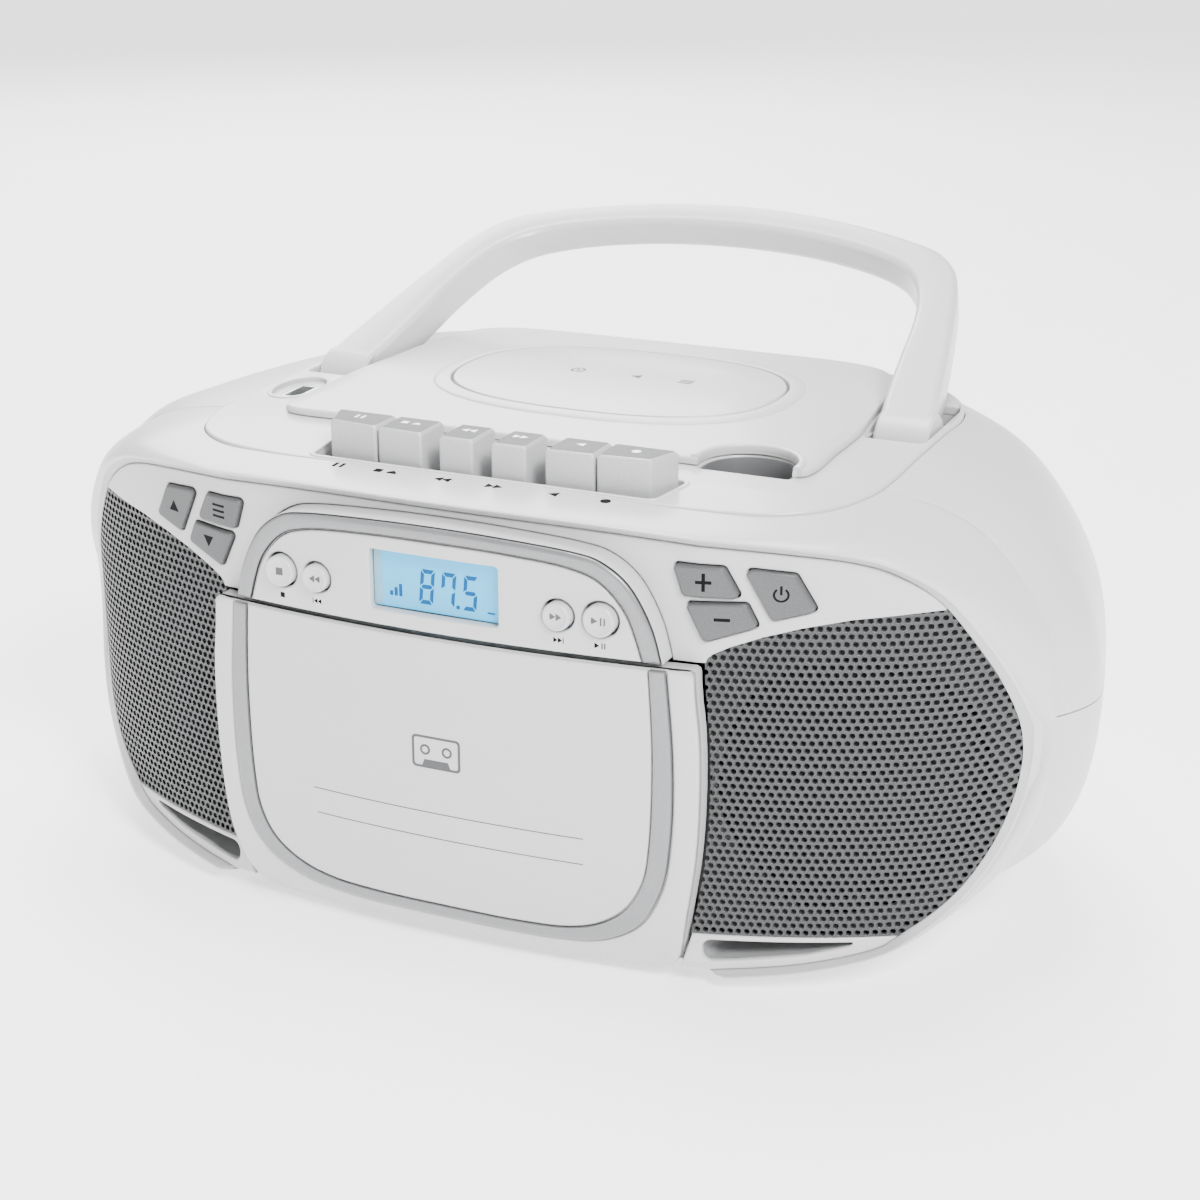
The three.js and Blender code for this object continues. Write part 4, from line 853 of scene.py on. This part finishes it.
def decal(name, kinds, mat, body, place, low, high):
    """Thin raised icons, each given as kind, position and size."""
    bm = bmesh.new()
    for kind, cx, cy, s in kinds:
        for shape in ICONS[kind]:
            solid_plate(bm, [[(cx + s * x, cy + s * y) for x, y in shape]],
                        [(0, low), (0, high - 0.02), (0.02, high)])
    across = [v.co.x for v in bm.verts]
    slices(bm, 0, steps(min(across), max(across), 1.0) if max(across) - min(across) < 12 else [])
    return build(name, bm, [mat], body, (), place=place)


for name, (x, z, r, mark) in rounds.items():
    y = face_y(x)
    prof = [(0, -1.35), (r * 0.45, -1.42), (r * 0.72, -1.62), (r - 0.75, -1.9), (r - 0.35, -1.82), (r - 0.1, -1.55),
            (r, -1.1), (r, 3.6), (r - 0.3, 3.8), (2, 3.8), (2, 8), (0, 8)]
    turned(name + "_cap", [([(a, y + b) for a, b in prof], (x, 0, z), "y", 48)], PANEL, name + "_cap", [name])
    decal(name + "_mark", [(mark, x, z, 2.6)], GREY_PRINT_AND_GROOVE_SHADE, name + "_cap",
          lambda p, y=y: to_world((p[0], y - p[2], p[1])), 1.2, 1.44)
decal("fascia_marks", [("stop", -51.7, 107.4, 1.8), ("prev", -39.1, 107.6, 1.9), ("next", 39.1, 107.6, 1.9),
                       ("playpause", 51.7, 107.4, 1.9)], INK, "cabinet", on_face, -0.02, 0.03)

CAP_PROFILE = [(0.2, -5), (0, -4.8), (0, 0.5), (0.08, 0.78), (0.25, 1.0), (0.55, 1.15), (1.0, 1.2)]
for name, (mark, q) in side_buttons.items():
    xs = [p[0] for p in q]
    plate(name + "_cap", [([fillet(ccw(q), 1.4, 5)], CAP_PROFILE)], BTNSILVER, name + "_cap", [name],
          on_panel, [(0, steps(min(xs), max(xs), 2.0))])
    decal(name + "_mark", [(mark, sum(xs) / 4, sum(p[1] for p in q) / 4, 4.4)], INK, name + "_cap", on_panel, 1.15,
          1.23)

# ---------------------------------------------------------------- cassette door
DOOR_TOP = 102
door_loop = mirror([(0, DOOR_TOP), (40, DOOR_TOP), (77.0, DOOR_TOP), (77.9, 101.5), (78.3, 100.4), (78.4, 97)] +
                   catmull([(78.4, 95), (79.9, 82), (80.3, 62), (79.1, 40), (75.3, 17), (72.6, 8), (68.3, 3.1),
                            (60, 2.3)], 30, closed=False)[1:] + [(40, 2.2), (0, 2.2)])
u_out = catmull(arc_mirror([(70.6, DOOR_TOP), (72.8, 75), (72.6, 50), (70, 33), (62.8, 20), (51, 12.4), (36, 9.8),
                            (0, 9.6)]), 110, closed=False)
u_in = catmull(arc_mirror([(65.6, DOOR_TOP), (67, 76), (66.2, 46), (64.4, 35), (58.8, 25.2), (50, 18.6), (40, 15.4),
                           (26, 14.4), (0, 14.4)]), 110, closed=False)
DOOR_CUTS = [(0, steps(-80, 80, 5)), (1, [4, 6, 8, 10, 12, 14, 16, 18.5, 21, 23.5, 26, 29, 32, 50, 70, 90])]

# white door: its back, the raised frame round the trim, and a skirt behind its edge
door_rim = [p for p in door_loop if p[1] < DOOR_TOP - 0.01]
rim_loop = [(71.0, DOOR_TOP), (74.6, DOOR_TOP)]
rim_loop += sorted([p for p in door_rim if p[0] > 0], key=lambda p: -p[1])
rim_loop += sorted([p for p in door_rim if p[0] <= 0], key=lambda p: p[1])
rim_loop += [(-74.6, DOOR_TOP), (-71.0, DOOR_TOP)]
rim_loop += [(p[0] + (0.15 if p[0] > 0 else -0.15), p[1] - 0.1) for p in reversed(u_out)][1:-1]
plate("door_shell", [([door_loop], [(0.4, -3.2), (0, -2.9), (0, -1.7), (0.2, -1.6)]),
                     ([thinned(rim_loop, 0.15)], [(0.1, -1.75), (0, -1.6), (0, -0.9), (0.15, -0.45), (0.45, -0.15),
                                                  (0.9, 0)]),
                     ([door_loop, offset(ccw(door_loop), 1.5)], [(0.1, -7.6), (0, -7.4), (0, -1.2)])],
      PANEL, "door", ["cassette_door"], on_door, DOOR_CUTS)
plate("door_u_trim", [([offset(ccw(u_out + u_in[::-1]), 0.25)],
                       [(0.2, -1.5), (0, -1.3), (0, 0.0), (0.12, 0.32), (0.45, 0.5), (1.3, 0.6), (1.8, 0.6)])],
      SILVER, "door", ["door_trim"], on_door, DOOR_CUTS)
plate("door_face_panel", [([offset(ccw(u_in), 0.3)],
                           [(0.2, -1.5), (0, -1.3), (0, -0.4), (0.15, -0.1), (0.5, 0.08), (0.9, 0.1)])],
      PANEL, "door", ["door_face"], on_door, DOOR_CUTS)
plate("door_lines", [([bar((x0 + x1) / 2, z, x1 - x0, 0.34)], [(0, 0.09), (0, 0.13)])
                     for z, x0, x1 in ((46.6, -43.5, 46.5), (38.4, -42.5, 46.5))],
      GREY_PRINT_AND_GROOVE_SHADE, "door", (), on_door, [(0, steps(-46, 46, 4))])
emblem = [[rect(-8, 8, 61, 71.4, 1.4), rect(-7.2, 7.2, 61.8, 70.6, 0.8)]]
emblem += [[ellipse(x, 66.9, 1.7, 1.7, 28), ellipse(x, 66.9, 1.0, 1.0, 28)] for x in (-3.6, 3.6)]
emblem.append([[(-4.8, 61.5), (4.8, 61.5), (3.9, 63.8), (-3.9, 63.8)]])
plate("door_emblem", [(loops, [(0, 0.09), (0, 0.16)]) for loops in emblem], GREY_PRINT_AND_GROOVE_SHADE, "door", (),
      on_door)

# ---------------------------------------------------------------- tape keys
key_plan = {"pause_key": (-52.8, -36.2, "pause"), "stop_eject_key": (-35.6, -20.2, "eject"),
            "fast_forward_key": (-14.4, -2.9, "back2"), "rewind_key": (2.9, 14.4, "fwd2"),
            "play_key": (20.2, 35.6, "back"), "record_key": (36.2, 52.8, "dot")}
KEY_TOP = 152.8
# the edge of the top: inset and height of each ring
KEY_ROWS = ((0.0, 135.6), (0.0, 151.6), (0.05, 151.8), (0.17, 151.97), (0.78, 152.58), (0.95, 152.72),
            (1.2, KEY_TOP))
SHAFT_Y, SHAFT_Z, EYE, SHAFT_BORE = 54, 131, 4.4, 2.3


def bow(x):
    return 28.5 + 3.2 * (x / 52.8) ** 2


def lean(x):
    return math.copysign(4.2, x) if abs(x) > 50 else 0.0


for name, (x0, x1, mark) in key_plan.items():
    lever = name.replace("_key", "_lever")
    plan = [(x0, bow(x0)), (x1, bow(x1)), (x1 + lean(x1), 44), (x0 + lean(x0), 44)]
    bm = bmesh.new()
    loft(bm, [[(p[0], p[1], z) for p in fillet(offset(ccw(plan), ins), max(1.0 - 0.35 * ins, 0.4), 5)]
              for ins, z in KEY_ROWS])
    mid = (x0 + x1) / 2
    half = min((x1 - x0) / 2 - 1.5, 4)
    block(bm, mid - half, mid + half, 36.5, 40.5, 129.6, 136.2)
    block(bm, mid - half, mid + half, 36.5, 50, 129.5, 133.5)
    ring = [[(x, SHAFT_Y + EYE * math.cos(a), SHAFT_Z + EYE * math.sin(a)) for a in
             [2 * math.pi * k / 24 for k in range(24)]] for x in (mid - half, mid + half)]
    hole = [[(p[0], SHAFT_Y + (p[1] - SHAFT_Y) * SHAFT_BORE / EYE, SHAFT_Z + (p[2] - SHAFT_Z) * SHAFT_BORE / EYE)
             for p in r] for r in ring]
    loft(bm, [ring[0], ring[1], hole[1], hole[0]], loop=True)
    bm.normal_update()
    # the top faces take the darker copy of the key silver: painted shade on the key tops
    for f in bm.faces:
        if f.calc_center_median().z > KEY_TOP - 0.05:
            f.material_index = 1
    build(name + "_cap", bm, [KEYSILVER, KEY_TOP_PAINTED_SHADE], lever, [name], sharp=26)
    decal(name + "_mark", [(mark, mid + (1.2 if x1 > 50 else -1.2 if x0 < -50 else 0), 37.6,
                            2.4 if mark == "eject" else 3.0)], STEEL, lever,
          lambda p: to_world((p[0], p[1], KEY_TOP + p[2])), -0.05, 0.12)

# ---------------------------------------------------------------- top deck
WELL_X, WELL_Y, WELL_R = 0, 126, 61.5
ARM_Y, ARM_Z = 129, 137
arm_slot = [(90.4, 112.6), (109.6, 112.6), (109.6, 158.6), (85.9, 158.6), (88.2, 133)]


def half_circle(r, cy, n):
    return [(70 + r * math.cos(math.pi * i / n), cy + r * math.sin(math.pi * i / n)) for i in range(n + 1)]


def notch(r):
    return half_circle(r, 66, 24) + [(70 - r, 61), (70 + r, 61)]


key_slot = fillet([(-56.2, 25.6), (56.2, 25.6), (58.9, 46.4), (-58.9, 46.4)], 3.2, 8)
holes = [key_slot, fillet(arm_slot, 2.4, 5), fillet([(-x, y) for x, y in reversed(arm_slot)], 2.4, 5),
         fillet(notch(14.6), [0] * 25 + [1.5, 1.5], 4), ellipse(-100, 91.8, 7.4, 13),
         ellipse(WELL_X, WELL_Y, WELL_R, WELL_R, 96)]
bm = bmesh.new()
solid_plate(bm, [deck_outline] + holes, [(0.2, -3.2), (0, -3.0), (0, -0.9), (0.1, -0.5), (0.35, -0.2), (0.8, -0.04),
                                         (1.3, 0)])
for v in bm.verts:
    v.co.z += DECK
# disc well below the deck
lathe(bm, [(9.0, 122.6), (WELL_R + 2.0, 122.6), (WELL_R + 2.4, 123.0), (WELL_R + 2.4, 139.7), (WELL_R, 139.7),
           (WELL_R, 126.2), (WELL_R - 0.6, 125.3), (WELL_R - 1.4, 125.0), (24, 125.0), (23.2, 124.6), (9.6, 124.6),
           (9.0, 124.2)], (WELL_X, WELL_Y, 0), "z", 96)
deck = build("deck_plate", bm, [WHITE], None)
boolean(deck, [tool(lambda b: loft(b, [[(p[0], p[1], z) for p in rect(18, 57, 118, 134, 2, 5)]
                                       for z in (118, 130)]))])
bind(deck, "cabinet", ["top_deck"])
# raised bead and side walls of the key slot
bead = ccw(key_slot)
plate("key_slot_bead", [([offset(bead, -1.5), offset(bead, 0.15)],
                         [(0, DECK - 0.6), (0, DECK + 0.12), (0.15, DECK + 0.34), (0.4, DECK + 0.46),
                          (0.7, DECK + 0.48)]),
                        ([offset(bead, -0.9), offset(bead, 0.05)], [(0, DECK - 11), (0, DECK - 3.3)])],
      WHITE, "cabinet", ())
# handle channels, with the pins that the arms turn on
for s, side in ((-1, "left"), (1, "right")):
    bm = bmesh.new()
    loop = ccw([(s * x, y) for x, y in arm_slot])
    loft(bm, [[(*p, z) for p in offset(loop, -1.4)] for z in (139.5, 123.6)], closed_ends=False)
    vs = loft(bm, [[(*p, z) for p in offset(loop, -0.2)] for z in (139.5, 124.8)], closed_ends=False)
    bm.faces.new(vs[-1])
    bmesh.ops.remove_doubles(bm, verts=bm.verts[:], dist=1e-4)
    build(f"{side}_arm_channel", bm, [WHITE], "cabinet", ())
    turned(f"{side}_arm_pins", [([(0, a), (2.9, a), (2.9, b), (0, b)] if s > 0 else
                                 [(0, -b), (2.9, -b), (2.9, -a), (0, -a)], (0, ARM_Y, ARM_Z), "x", 24)
                                for a, b in ((87, 93.4), (105.4, 111))], STEEL, "cabinet", ())
# finger well under the lid notch
loop = ccw(notch(14.3))
plate("finger_well", [([offset(loop, -0.2), offset(loop, 0.5)], [(0, 134.6), (0, DECK - 0.9), (0.1, DECK - 0.7)]),
                      ([offset(loop, 0.3)], [(0, 134.6), (0, 135.4)])],
      WELLGREY, "cabinet", ())
# USB recess
plate("usb_recess", [([ellipse(-100, 91.8, 7.5, 13.1), rect(-103.4, -96.6, 84.6, 99, 0.6, 4)],
                      [(0, 139.8), (0, 141.5), (0.3, 141.7)]),
                     ([ellipse(-100, 91.8, 9.0, 14.6, 64), ellipse(-100, 91.8, 7.3, 12.9, 64)],
                      [(0, DECK - 0.6), (0, DECK + 0.15), (0.15, DECK + 0.36), (0.4, DECK + 0.46),
                       (0.6, DECK + 0.48)])],
      PANEL, "cabinet", ())
decal("key_marks", [("pause", -43.6, 20.2, 3.3), ("eject", -27.4, 20.0, 2.8), ("back2", -8.6, 19.8, 3.2),
                    ("fwd2", 8.4, 19.8, 3.2), ("back", 27.2, 20.0, 3.3), ("dot", 43.6, 20.2, 3.3)], INK, "cabinet",
      lambda p: to_world((p[0], p[1], 142.62 + (p[1] - 20) * 0.025 + p[2])), -0.05, 0.12)

# ---------------------------------------------------------------- disc lid
LID_FRONT, LID_Z = 62, DECK + 0.3
lid_outline = catmull(mirror([(0, LID_FRONT), (60, LID_FRONT), (84, LID_FRONT), (88, 63.6), (89.5, 67.5), (89.5, 90),
                              (89.5, 114), (87.4, 133), (84.9, 157), (81, 174), (74, 184), (60, 189.2), (30, 190.4),
                              (0, 190.5)]), 180)


def lid_dome(x, y):
    fx = max(0.0, 1 - (x / 92) ** 4)
    fy = max(0.0, 1 - abs((y - 128) / 68) ** 3.2)
    return 1.15 * fx * fy


# the outline, opened at the finger notch
lid_edge = [p for p in ccw(lid_outline) if not (54.6 < p[0] < 85.4 and p[1] < 64)]
start = max(range(len(lid_edge)),
            key=lambda i: math.dist(lid_edge[i], lid_edge[i - 1]) if lid_edge[i][1] < 70 else 0)
lid_edge = lid_edge[start:] + lid_edge[:start]
arc = [(85, 62.0)] + half_circle(15, 65, 28) + [(55, 62.0)]
bm = bmesh.new()
solid_plate(bm, [lid_edge + (arc[::-1] if lid_edge[-1][0] < 70 else arc)],
            [(0.2, 0), (0, 0.25), (0, 1.2), (0.12, 1.7), (0.45, 2.05), (1.0, 2.2)])
slices(bm, 0, steps(-90, 90, 6))
slices(bm, 1, steps(LID_FRONT, 190.5, 6))
for v in bm.verts:
    if v.co.z > 1.0:
        v.co.z += lid_dome(v.co.x, v.co.y)
    v.co.z += LID_Z


def pad_ring(rx, ry, lift):
    """Ring of the oval pad on the lid, with squarish corners."""
    pts = []
    for i in range(120):
        a = 2 * math.pi * i / 120
        e = 2 / 2.5
        x = rx * math.copysign(abs(math.cos(a)) ** e, math.cos(a))
        y = 129.4 + ry * math.copysign(abs(math.sin(a)) ** e, math.sin(a))
        pts.append((x, y, LID_Z + 2.2 + lid_dome(x, y) + lift))
    return pts


# the bottom of the groove round the pad (row 7) takes the grey print material: painted shade in the groove
loft(bm, [pad_ring(*ring) for ring in (
    (62, 45, -1.0), (62, 45, 0.0), (61.8, 44.8, 0.25), (61.2, 44.2, 0.5), (60, 43, 0.72), (57.4, 40.4, 0.84),
    (56.8, 39.8, 0.74), (56.6, 39.6, 0.05), (55.8, 38.8, 0.05), (55.5, 38.5, 0.78), (54.6, 37.6, 0.9),
    (40, 28, 1.0), (20, 14, 1.05))], mats=lambda r, i: 1 if r == 7 else 0)
# raised rim round the notch
rim = [(87.4, 62.6)] + half_circle(17.4, 65, 32) + [(52.6, 62.6), (55.1, 62.6)]
rim += half_circle(14.9, 65, 32)[::-1] + [(84.9, 62.6)]
bump = bmesh.new()
solid_plate(bump, [rim], [(0, LID_Z + 1.2), (0, LID_Z + 2.5), (0.2, LID_Z + 2.95), (0.5, LID_Z + 3.15),
                          (0.9, LID_Z + 3.2)])
merge(bm, bump)
build("lid_cover", bm, [WHITE, GREY_PRINT_AND_GROOVE_SHADE], "lid", ["cd_lid"], sharp=34)
decal("lid_marks", [("disc", -17, 134.5, 5.2), ("back", 4, 134.5, 4.0), ("list", 22, 134.5, 4.2)], GREY_PRINT_AND_GROOVE_SHADE, "lid",
      lambda p: to_world((p[0], p[1], LID_Z + 3.2 + lid_dome(p[0], p[1]) + p[2])), -0.1, 0.1)
turned("lid_post", [([(0, 135.3), (2.7, 135.3), (3, 135.6), (3, 142), (6, 143), (6, 143.4), (0, 143.4)],
                     (WELL_X, WELL_Y, 0), "z", 32)], WHITE, "lid", ())

# ---------------------------------------------------------------- handle
# half of the handle from the pivot to the middle: inner x and reach, outer x and reach
arm = [(91.2, 0, 108.9, 0), (89.9, 8, 107.6, 9), (88.2, 22, 104.9, 24), (86.6, 38, 101.8, 42), (85.2, 54, 98, 61),
       (82.8, 68, 94.2, 78), (78.6, 80, 89.4, 91.4), (71.4, 89.6, 81.4, 101.4), (60.5, 96.4, 69, 107.6),
       (45, 102, 50.5, 114.2), (24, 106.4, 27, 119.6), (0, 108, 0, 122)]
stations = catmull(arm + [(-a, b, -c, d) for a, b, c, d in reversed(arm[:-1])], 110, closed=False)
tilt = math.radians(19)


def handle_point(x, u, n):
    return (x, ARM_Y + u * math.cos(tilt) - n * math.sin(tilt), ARM_Z + u * math.sin(tilt) + n * math.cos(tilt))


rings = []
for xi, ui, xo, uo in stations:
    drop = 2.6 * ease((max(ui, 0) - 60) / 50)
    n0, n1 = -4 + drop, 10.5
    width = math.hypot(xo - xi, uo - ui)
    section = fillet([(0.0, n0), (width, n0), (width, n1), (0.0, n1)], [3.4, 3.4, 2.6, 2.6], 5)
    # the top is faintly crowned
    pts = []
    for t, n in section:
        k = t / width
        lift = 0.5 * (4 * k * (1 - k) - 0.6) if n > n1 - 1.2 else 0
        pts.append(handle_point(xi + (xo - xi) * k, ui + (uo - ui) * k, min(n + min(lift, 0), n1)))
    rings.append(pts)
bm = bmesh.new()
loft(bm, rings)
handle = build("carry_handle_grip", bm, [WHITE], None)


def pivot_tool(profile, seg):
    return tool(lambda b: lathe(b, profile, (0, ARM_Y, ARM_Z), "x", seg))


def boss(x0, x1):
    return pivot_tool([(0, x0), (9.7, x0), (10.5, x0 + 0.8), (10.5, x1 - 0.8), (9.7, x1), (0, x1)], 64)


def bore(x0, x1):
    return pivot_tool([(0, x0), (3.2, x0), (3.2, x1), (0, x1)], 32)


boolean(handle, [boss(91.2, 108.9), boss(-108.9, -91.2)], "UNION")
boolean(handle, [bore(90, 94), bore(104.8, 110), bore(-94, -90), bore(-110, -104.8)])
bind(handle, "carry_handle", ["handle"])

# ---------------------------------------------------------------- rear fittings
parts = [([rect(-56.1, 56.1, 15.4, 70.6, 1.2)], [(0.2, -2.4), (0, -2.2), (0, -0.5), (0.15, -0.15), (0.5, 0)])]
parts += [([rect(x - 3.2, x + 3.2, z, z + 1.2, 0.5, 4)], [(0, -0.3), (0, 0.35), (0.25, 0.6)])
          for x in range(-44, 45, 11) for z in (24, 28)]
parts += [([rect(x - 8, x + 8, 62, 66.5, 1.6, 6), rect(x - 6.6, x + 6.6, 63.2, 65.3, 0.9, 6)],
           [(0, -0.3), (0, 0.7), (0.25, 1.0)]) for x in (-34, 34)]
plate("battery_cover_plate", parts, WHITE, "battery_cover", ["battery_door"],
      lambda p: to_world((-p[0], REAR + p[2], p[1])))
PIN_X, INLET_Z = (72, 80), 35
lens = []
for i in range(48):
    a = 2 * math.pi * i / 48
    lens.append((PIN_X[math.cos(a) > 0] + 4.1 * math.cos(a), INLET_Z + 4.1 * math.sin(a)))
plate("inlet_housing", [([rect(65.3, 86.7, 28.3, 41.7, 1.0), lens], [(0.2, -8), (0, -7.8), (0, 0.2), (0.3, 0.5)]),
                        ([offset(ccw(lens), -0.4)], [(0, -8.2), (0, -7.4)])],
      DARK_AND_PAINTED_SHADE, "cabinet", ["mains_inlet"], lambda p: to_world((p[0], REAR + p[2], p[1])))
turned("inlet_pins", [([(0, 192.4), (1.15, 192.4), (1.15, 198.2), (0.8, 198.9), (0, 199)], (x, 0, INLET_Z), "y", 20)
                      for x in PIN_X], BRASS, "cabinet", ())
AX, AZ, AY = -60, 128, 207
across, along = ((AX, 0, AZ), "y", 40), ((0, AY, AZ), "x", 28)
turned("aerial_mount", [([(0, 200.2), (6.4, 200.2), (7, 200.6), (7, 202.6), (6.2, 203.4), (2, 203.4), (2, 210.4),
                          (3.5, 210.4), (3.8, 210.8), (3.6, 211.6), (2.6, 212), (0, 212)], *across)],
       DARK_AND_PAINTED_SHADE, "cabinet", ["antenna_base"])
turned("aerial_outer", [([(2.35, 203.9), (5, 203.9), (5.4, 204.3), (5.4, 209.6), (5, 210), (2.35, 210)], *across),
                        ([(2.2, AX + 4), (3, AX + 4.0), (3, AX + 122.6), (2.8, AX + 123), (2.2, AX + 123)], *along)],
       CHROME, "aerial_tube", ["antenna_lower"])
turned("aerial_inner", [([(0, AX + 10), (1.8, AX + 10), (1.8, AX + 123.4), (3, AX + 123.5), (3.3, AX + 124),
                          (3.4, AX + 126.6), (2.9, AX + 127.6), (1.6, AX + 128), (0, AX + 128)], *along)],
       CHROME, "aerial_tip", ["antenna_upper"])
foot = [(0, 0.25), (3.4, 0.25), (3.8, 0.0), (6.8, 0.0), (7.6, 0.3), (8, 0.9), (8, 3.1), (0, 3.1)]
for end, y in (("front", 46), ("rear", 158)):
    for side, s in SIDES:
        name = f"{end}_{side}_foot"
        turned(name + "_pad", [(foot, (68 * s, y, 0), "z", 48)], RUBBER, "cabinet", [name])

# ---------------------------------------------------------------- CAD pieces kept inside
for mat, nodes in (
        (DARK_AND_PAINTED_SHADE, ("cassette_holder", "supply_spindle", "takeup_spindle", "disc_clamp", "disc_spindle", "laser_pickup",
                "battery_tray")),
        (STEEL, ("tape_chassis", "capstan_flywheel", "tape_head", "tape_motor", "key_shaft", "usb_socket",
                 "power_transformer")),
        (RUBBER, ("pinch_roller",)), (BOARD, ("main_board",))):
    for node in nodes:
        for place_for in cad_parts[node].material_slots:
            place_for.link = "OBJECT"
            place_for.material = mat

# ---------------------------------------------------------------- floor, lights, camera
FLOOR_R = 30
bm = bmesh.new()
bm.faces.new([bm.verts.new((FLOOR_R * math.cos(math.pi * i / 32), FLOOR_R * math.sin(math.pi * i / 32), -0.0002))
              for i in range(64)])
FLOOR = material("studio_floor", (0.96, 0.96, 0.96), 0.6, grain=40, bump=0.0, mottle=0.005, spec=0.2,
                 emit=((1, 1, 1), 0.95))


def smooth_range(nt, source, near, far, low, high, target):
    """Drives an input from low to high as a measure goes from near to far."""
    n = set_inputs(nt.nodes.new("ShaderNodeMapRange"), {"From Min": near, "From Max": far, "To Min": low,
                                                        "To Max": high})
    n.interpolation_type = "SMOOTHSTEP"
    nt.links.new(source, n.inputs["Value"])
    nt.links.new(n.outputs["Result"], target)


# the glow rises with distance, where the lamps no longer reach, so that the floor stays even
nt = FLOOR.node_tree
length = nt.nodes.new("ShaderNodeVectorMath")
length.operation = "LENGTH"
nt.links.new(nt.nodes["Texture Coordinate"].outputs["Object"], length.inputs[0])
smooth_range(nt, length.outputs["Value"], 0.7, 3.2, 0.95, 1.8, nt.nodes["Principled BSDF"].inputs["Emission Strength"])
floor = build("floor", bm, [FLOOR], None, place=None)

# lamps: place, where they point, size and power
for name, spot, aim, size, power in (
        ("key", (1.3, -1.0, 1.5), (0, 0, 0.08), 0.7, 92), ("fill", (-1.5, -1.1, 0.6), (0, 0, 0.08), 1.0, 12),
        ("top", (-0.2, 0.3, 1.8), (0, 0, 0.1), 1.1, 60), ("rim", (-0.9, 1.3, 1.0), (0, 0, 0.12), 1.0, 32),
        ("front", (0.2, -1.9, 0.35), (0, 0, 0.08), 0.9, 9)):
    lamp = bpy.data.lights.new(name, "AREA")
    lamp.energy = power
    lamp.size = size
    o = bpy.data.objects.new(name, lamp)
    bpy.context.scene.collection.objects.link(o)
    o.location = spot
    o.rotation_euler = (Vector(aim) - Vector(spot)).to_track_quat("-Z", "Y").to_euler()
world = bpy.data.worlds.new("studio")
bpy.context.scene.world = world
world.use_nodes = True
# pale near the horizon, where it meets the floor, and dimmer overhead
nt = world.node_tree
backdrop = set_inputs(nt.nodes["Background"], {"Color": (1, 1, 1, 1)})
height = nt.nodes.new("ShaderNodeSeparateXYZ")
nt.links.new(nt.nodes.new("ShaderNodeTexCoord").outputs["Generated"], height.inputs["Vector"])
smooth_range(nt, height.outputs["Z"], 0.05, 0.22, 1.75, 0.3, backdrop.inputs["Strength"])

cam_data = bpy.data.cameras.new("camera")
cam_data.sensor_width = 36
cam_data.lens = 70.4
cam_data.clip_start, cam_data.clip_end = 0.05, 60
cam = bpy.data.objects.new("camera", cam_data)
bpy.context.scene.collection.objects.link(cam)
aim = Vector((0.0509, DATUM, 0.1205))
az, el, dist = math.radians(24.04), math.radians(20.20), 0.656
cam.location = aim + Vector((math.sin(az) * math.cos(el), -math.cos(az) * math.cos(el), math.sin(el))) * dist
cam.rotation_mode = "QUATERNION"
cam.rotation_quaternion = (aim - cam.location).to_track_quat("-Z", "Y")
bpy.context.scene.camera = cam
